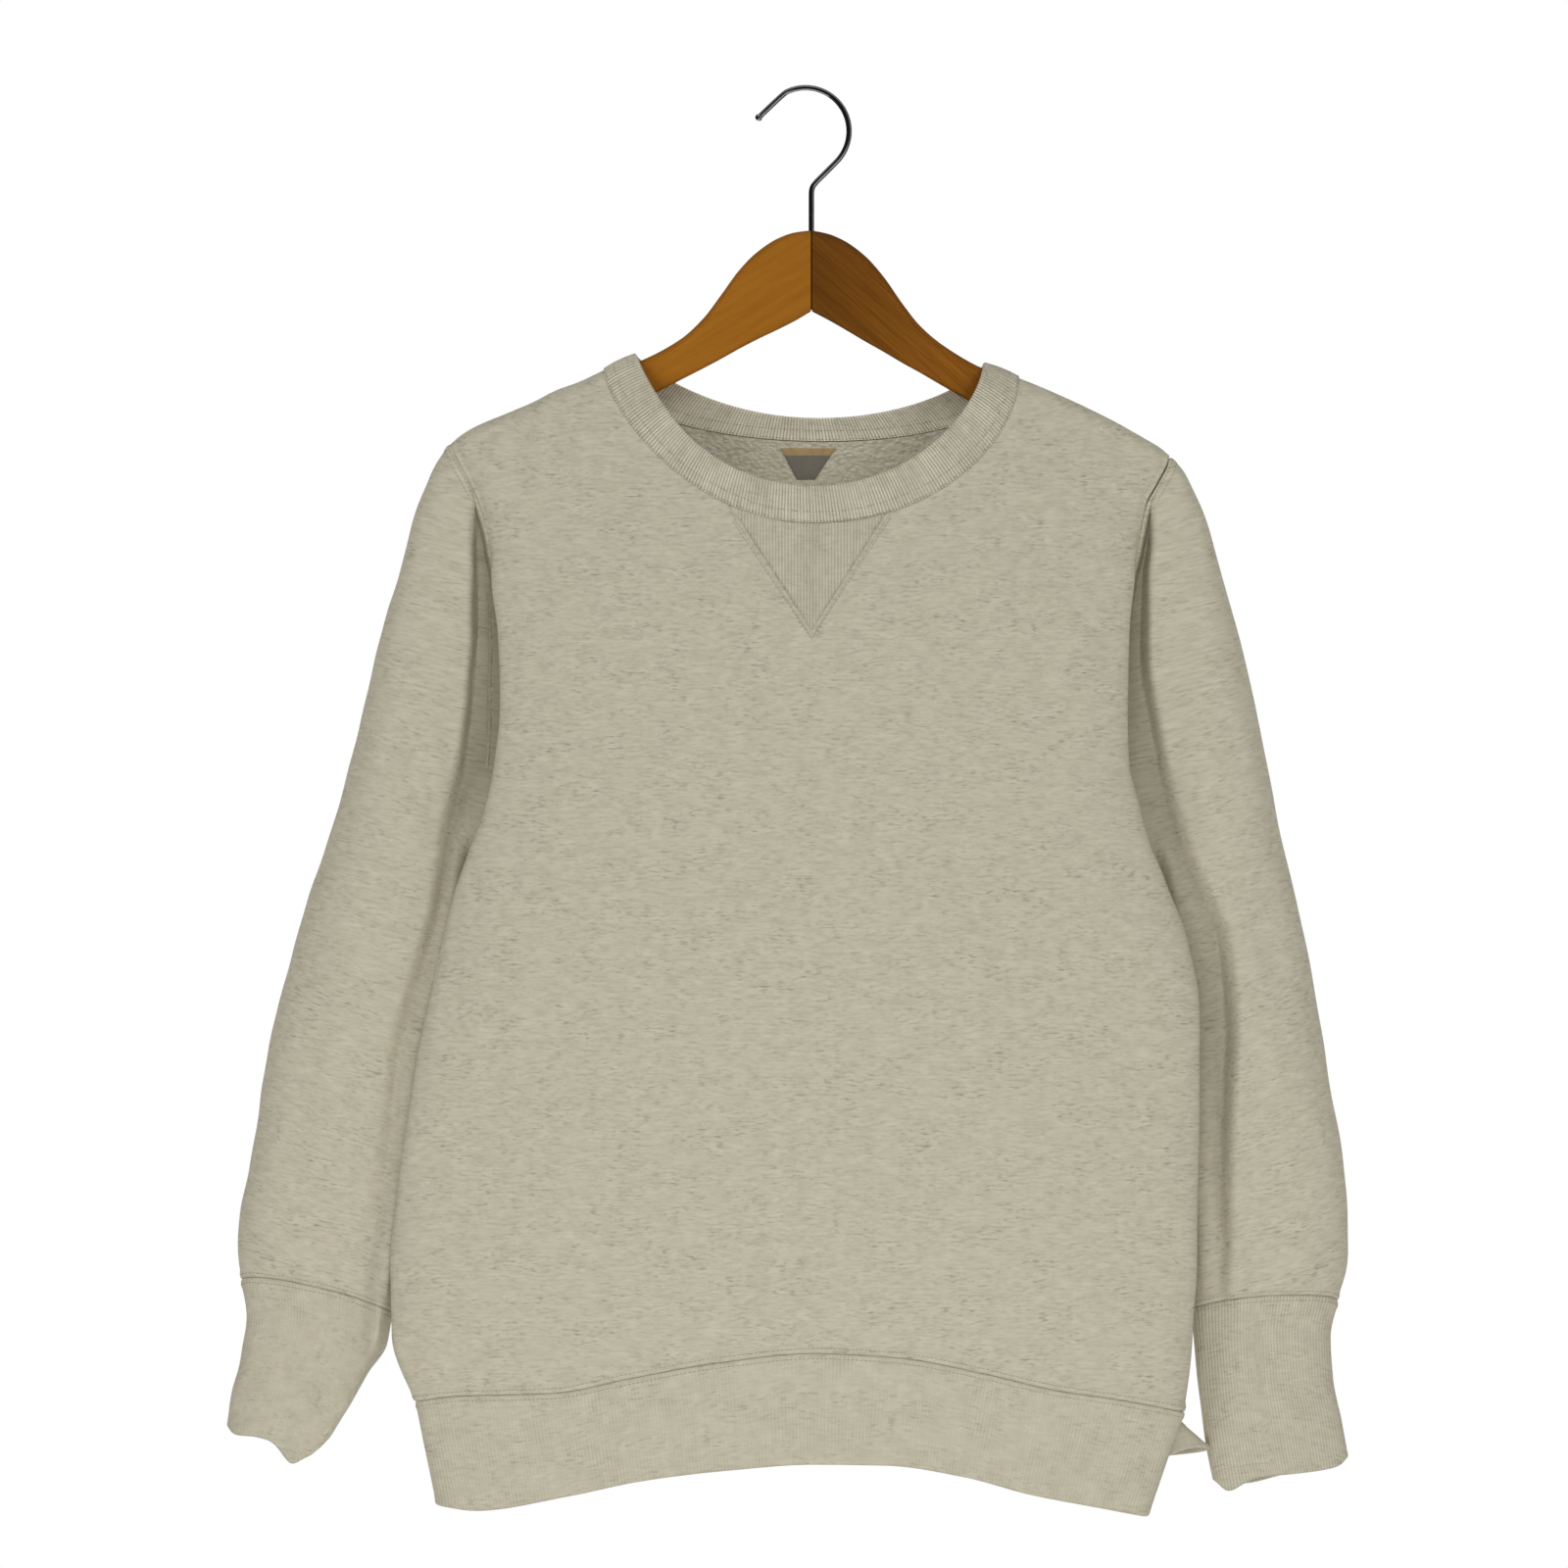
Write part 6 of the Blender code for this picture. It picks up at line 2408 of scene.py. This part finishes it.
@dataclass(frozen=True)
class Hanger:
    """Two sawn wooden arms that meet in a mitre, and the bent wire hook between them."""

    body: BodyForm
    wood_half: float = 5.5
    foot_radius: float = 3.0
    tip: float = 205.0
    tip_rings: tuple[tuple[float, float], ...] = ((6, 1.0), (2.5, 0.9), (0.6, 0.7), (0, 0.4))
    tip_length: float = 10.0
    arm_rings: int = 90
    crown_steps: int = 20
    foot_steps: int = 8
    crest_to_wood: float = 2.0
    mitre_gap: float = 0.4
    slit_shade_depth: float = 0.86
    slit_shade_height: float = 0.97
    wire: float = 1.7
    wire_sides: int = 28
    hook_centre: tuple[float, float] = (-3.6, 25.0)
    hook_radius: float = 26.7
    hook_arc: tuple[float, float] = (120.0, -45.0)
    hook_rings: tuple[int, int, int] = (28, 90, 40)
    hook_smooths: int = 3
    arms: Profile = Profile(
        "out right_top right_foot left_top left_foot",
        (0, 85.7, 135.3, 85.7, 135.3), (10, 87, 141.2, 87.8, 140.5), (20, 90.4, 146.3, 92, 146.2),
        (33, 98.8, 152.5, 101.5, 153.9), (44, 109.8, 158.2, 113.8, 160.1),
        (56, 126.2, 164.9, 130.9, 167.2), (66, 139.4, 170.2, 143.6, 172.7),
        (80, 152.3, 177.4, 155.7, 180.9), (104, 165.4, 190, 169.9, 194.5),
        (127, 174, 201, 178.8, 206), (205, 208, 224, 216.2, 233),
    )
    free_end: Profile = Profile(
        "step x below radius",
        (0, -33.6, 18.1, 0.5), (1, -33.2, 17.6, 1.7), (2, -32.2, 16.6, 2.3), (3, -30.9, 15.3, 1.7),
        (4, -24, 8.7, 1.7),
    )
    stem: Profile = Profile(
        "step x below",
        (0, 8, 51.2), (1, 2.6, 56.6), (2, 0.7, 59.4), (3, 0, 63), (4, 0, 75), (5, 0, 86),
        (6, 0, 106),
    )

    def section(self, top: float, foot: float, broad: float, high: float) -> Array:
        """Y and distance below the origin round one upright section of an arm.

        Args:
            top: Distance of its top below the origin.
            foot: The same of its foot.
            broad: Share of its breadth that is kept.
            high: Share of its height that is kept.

        Returns:
            The section's outline, in mm.
        """
        middle = (top + foot) / 2
        turn = np.linspace(0, math.pi, self.crown_steps)
        crown = top + self.wood_half * (1 - np.sin(turn))
        over = np.stack([self.wood_half * np.cos(turn), crown], -1)
        bend = np.linspace(0, math.pi / 2, self.foot_steps)
        flat = self.wood_half - self.foot_radius * (1 - np.cos(bend))
        low = foot - self.foot_radius * (1 - np.sin(bend))
        under = [np.stack([-flat, low], -1), np.stack([flat, low], -1)[::-1]]
        outline = np.concatenate([over, *under])
        return np.stack([outline[:, 0] * broad, middle + (outline[:, 1] - middle) * high], -1)

    def arm(self, side: Side, material: Material) -> None:
        """Make one arm, from the mitre at the centre to its rounded tip.

        Args:
            side: The wearer's side that it is on.
            material: Its wood.
        """
        outs = np.linspace(self.mitre_gap, self.tip - self.tip_length, self.arm_rings)
        stations = [(out, 1.0) for out in outs]
        stations += [(self.tip - short, scale) for short, scale in self.tip_rings]
        loops = []
        for out, scale in stations:
            top, foot = (float(self.arms.at(out, f"{side.value}_{end}")) for end in ("top", "foot"))
            if out > self.body.crest.keys[0]:
                top = float(self.body.shoulder(np.array(side.sign * out))) + self.crest_to_wood
            ring = self.section(top, foot, scale, scale)
            loops.append(places(side.sign * out, ring[:, 0], ring[:, 1]))
        thing = lofted(f"hanger_{side.value}", loops, material)
        slot = "wood_honey" if side is Side.RIGHT else "wood_brown"
        carry(thing, slot, f"hanger_arm_{side.value}")

    def hook_path(self) -> Array:
        """X, distance below the origin and radius along the hook, from its ball tip down.

        Returns:
            One row of three numbers for each ring of the wire.
        """
        ball, round_arc, straight = self.hook_rings
        steps = np.linspace(0, self.free_end.keys[-1], ball)
        tip = np.stack([self.free_end.at(steps, name) for name in ("x", "below", "radius")], -1)
        turn = np.radians(np.linspace(*self.hook_arc, round_arc))
        x = self.hook_centre[0] + self.hook_radius * np.cos(turn)
        below = self.hook_centre[1] - self.hook_radius * np.sin(turn)
        arc = np.stack([x, below, np.full_like(x, self.wire)], -1)
        steps = np.linspace(0.0, self.stem.keys[-1], straight)
        foot = [self.stem.at(steps, "x"), self.stem.at(steps, "below"), 0 * steps + self.wire]
        path = np.concatenate([tip, arc, np.stack(foot, -1)])
        bent = path[ball - 1 : -3, :2]
        for _ in range(self.hook_smooths):
            bent[1:-1] = (bent[:-2] + 2 * bent[1:-1] + bent[2:]) / 4
        return path

    def hook(self, material: Material) -> None:
        """Make the wire hook, from its ball tip to the foot of its stem.

        Args:
            material: Its material.
        """
        path, loops = self.hook_path(), []
        turn = np.linspace(0, 2 * math.pi, self.wire_sides, endpoint=False)[:, None]
        for index, (x, below, radius) in enumerate(path):
            before, after = path[max(index - 1, 0)], path[min(index + 1, len(path) - 1)]
            along = unit(np.array([after[0] - before[0], 0.0, before[1] - after[1]]))
            across = np.array([along[2], 0.0, -along[0]])
            offset = across * np.cos(turn) + np.array([0.0, 1.0, 0.0]) * np.sin(turn)
            loops.append(np.array([x, 0.0, -below]) + offset * radius)
        carry(lofted("hanger_wire", loops, material), "chrome", "hanger_hook")

    def slit_shade(self, material: Material) -> None:
        """Make the painted shade in the mitre's slit: a near-black sheet set back from the faces of
        the arms.

        Args:
            material: Its material.
        """
        top, foot = float(self.arms.at(0, "left_top")), float(self.arms.at(0, "left_foot"))
        ring = self.section(top, foot, self.slit_shade_depth, self.slit_shade_height)
        loops = [places(x, ring[:, 0], ring[:, 1]) for x in (-self.mitre_gap, self.mitre_gap)]
        carry(lofted("mitre_slit_shade", loops, material), "wood_brown")

    def build(self) -> None:
        """Make the arms, the painted shade in the slit between them and the hook."""
        # The two woods differ in tone as two boards do; the wearer's left arm's darker brown is
        # also painted shade for the less lit side of the hanger.
        honey = {"figured": 0.6, "lined": 0.25, "near": 0.95, "grain": 1.8}
        brown = {"figured": 0.55, "lined": 0.8, "near": 0.52, "grain": 1.3}
        honey_wood = VarnishedWood("wood_honey", "#A76B1F", "#8A5514", -30.0, **honey)
        brown_wood = VarnishedWood("wood_brown", "#935C1B", "#6F410D", 42.0, **brown)
        self.arm(Side.RIGHT, honey_wood.build())
        self.arm(Side.LEFT, brown_wood.build())
        # The slit between the arms: a near-black sheet of painted shade.
        self.slit_shade(VarnishedWood("painted_slit_shade", "#241305", "#1A0D03", 0.0).build())
        self.hook(ChromedWire().build())


def lofted(name: str, loops: list[Array], material: Material) -> Thing:
    """Join rings of points into a closed smooth piece.

    Args:
        name: Name of the piece.
        loops: Rings of points, in mm.
        material: Its material.

    Returns:
        The new object.
    """
    rings, around = len(loops), len(loops[0])
    ring, spot = np.meshgrid(np.arange(rings - 1) * around, np.arange(around), indexing="ij")
    after = (spot + 1) % around
    low, high = ring, ring + around
    quads = np.stack([low + spot, low + after, high + after, high + spot], -1).reshape(-1, 4)
    first, last, base = rings * around, rings * around + 1, (rings - 1) * around
    faces = quads.tolist()
    for here in range(around):
        there = (here + 1) % around
        faces += [[first, there, here], [last, base + here, base + there]]
    ends = [loops[0].mean(axis=0), loops[-1].mean(axis=0)]
    return mesh_object(name, np.concatenate([*loops, ends]), faces, [material], 50)


# --- studio ---------------------------------------------------------------------------------


@dataclass(frozen=True)
class SoftBox:
    """A square soft light that faces the garment.

    Attributes:
        name: Its name.
        place: Where it stands, in metres.
        size: Length of its side, in metres.
        power: Its power, in watts.
    """

    name: str
    place: Point
    size: float
    power: float

    def build(self, aim: Vector) -> None:
        """Make the light and turn it to a point.

        Args:
            aim: The point that it faces, in metres.
        """
        lamp = bpy.data.lights.new(self.name, "AREA")
        lamp.shape, lamp.size, lamp.energy = "SQUARE", self.size, self.power
        thing = bpy.data.objects.new(self.name, lamp)
        thing.location = self.place
        thing.rotation_euler = (aim - Vector(self.place)).to_track_quat("-Z", "Y").to_euler()
        thing.visible_camera = thing.visible_glossy = False
        bpy.context.scene.collection.objects.link(thing)


@dataclass(frozen=True)
class Card:
    """A pale card that only mirrors see, in the dark room.

    Attributes:
        aim: The direction towards its middle.
        start: Cosine from that direction at which it starts.
        end: Cosine at which it is full.
        light: How bright it is.
    """

    aim: Point
    start: float
    end: float
    light: float


@dataclass(frozen=True)
class Studio:
    """A white room with soft boxes at both sides, and the camera far in front with a long lens.

    All sizes are in metres but the sensor's, which is in millimetres.
    """

    centre: tuple[float, float] = (-0.0168, -0.425)
    sharp_plane: float = -0.02
    distance: float = 24.0
    frame: float = 0.96
    sensor: float = 36.0
    clip: tuple[float, float] = (1.0, 100.0)
    sky: float = 0.32
    boxes: tuple[SoftBox, ...] = (
        SoftBox("box_high_right", (-3.4, -3.3, 0.9), 2.0, 52.5),
        SoftBox("box_high_left", (3.4, -3.3, 0.9), 2.0, 48.5),
        SoftBox("box_high_centre", (0.0, -4.2, 2.2), 2.0, 38.0),
        SoftBox("box_low_centre", (0.0, -1.6, -2.1), 1.0, 15.5),
        SoftBox("box_back_right", (-3.4, 3.3, 0.5), 2.0, 62.0),
        SoftBox("box_back_left", (3.4, 3.3, 0.5), 2.0, 62.0),
    )
    aim: Point = (0.0, 0.0, -0.5)
    dark: float = 0.012
    floor_half: float = 1.8
    floor_below: float = 2.6
    cards: tuple[Card, ...] = (
        Card((1.0, 0.2, 0.0), 0.3, 1.0, 0.2),
        Card((0.37, -0.85, -0.37), 0.955, 0.985, 0.7),
        Card((0.0, 0.0, 1.0), 0.5, 0.95, 0.3),
        Card((0.0, 0.0, -1.0), 0.5, 0.95, 0.09),
    )

    def build(self) -> None:
        """Make the world, the floor, the lights and the camera."""
        self.world()
        self.floor()
        for box in self.boxes:
            box.build(Vector(self.aim))
        camera = bpy.data.cameras.new("camera")
        camera.lens, camera.sensor_width = self.sensor * self.distance / self.frame, self.sensor
        camera.clip_start, camera.clip_end = self.clip
        thing = bpy.data.objects.new("camera", camera)
        thing.location = (self.centre[0], self.sharp_plane - self.distance, self.centre[1])
        thing.rotation_euler = (math.pi / 2, 0.0, 0.0)
        scene = bpy.context.scene
        scene.collection.objects.link(thing)
        scene.camera = thing
        scene.view_settings.view_transform = "Standard"

    def floor(self) -> None:
        """Lay the plain pale floor, far below the garment."""
        half, below = self.floor_half, self.floor_below
        sides = ((-half, -half), (half, -half), (half, half), (-half, half))
        spots = np.array([(x, y, -below) for x, y in sides]) / MM
        mesh_object("floor", spots, [[0, 1, 2, 3]], [PaintedFloor().build()])

    def world(self) -> None:
        """White behind the object, soft grey light on it, and a dark room in front in mirrors."""
        world = bpy.data.worlds.new("studio")
        bpy.context.scene.world = world
        world.use_nodes = True
        nodes = Nodes(world.node_tree)
        path = nodes.add("LightPath", {}).outputs
        way = nodes.add("TexCoord", {}).outputs["Generated"]
        seen: Any = self.dark
        for card in self.cards:
            side = nodes.add("VectorMath", {0: way, 1: card.aim}, operation="DOT_PRODUCT")
            light = nodes.ranged(side.outputs["Value"], card.start, card.end, card.light)
            seen = nodes.math("ADD", light, seen)
        mirror = nodes.add("Mix", {0: path["Is Glossy Ray"], 2: self.sky, 3: seen}).outputs[0]
        level = nodes.add("Mix", {0: path["Is Camera Ray"], 2: mirror, 3: 1.0}).outputs[0]
        light = nodes.add("Background", {"Color": (1, 1, 1, 1), "Strength": level})
        nodes.add("OutputWorld", {"Surface": light.outputs[0]})


def corners(box: tuple[Vector, Vector]) -> list[list[float]]:
    """A box's lowest and highest corner as plain lists."""
    return [[float(value) for value in corner] for corner in box]


def main() -> None:
    """Make every piece."""
    logging.basicConfig(level=logging.INFO, format="%(name)s: %(message)s")
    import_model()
    form = BodyForm()
    finishes = Finishes.make()
    stitches = {"body_stitches": BodyCloth(form, finishes).build()}
    for side in Side:
        rows = ArmCloth(ArmForm(side, form), finishes).build()
        stitches[f"arm_stitches_{side.value}"] = rows
    for name, rows in stitches.items():
        StitchRow().sew(name, rows, finishes.thread)
    Hanger(form).build()
    Studio().build()


if __name__ == "__main__":
    main()
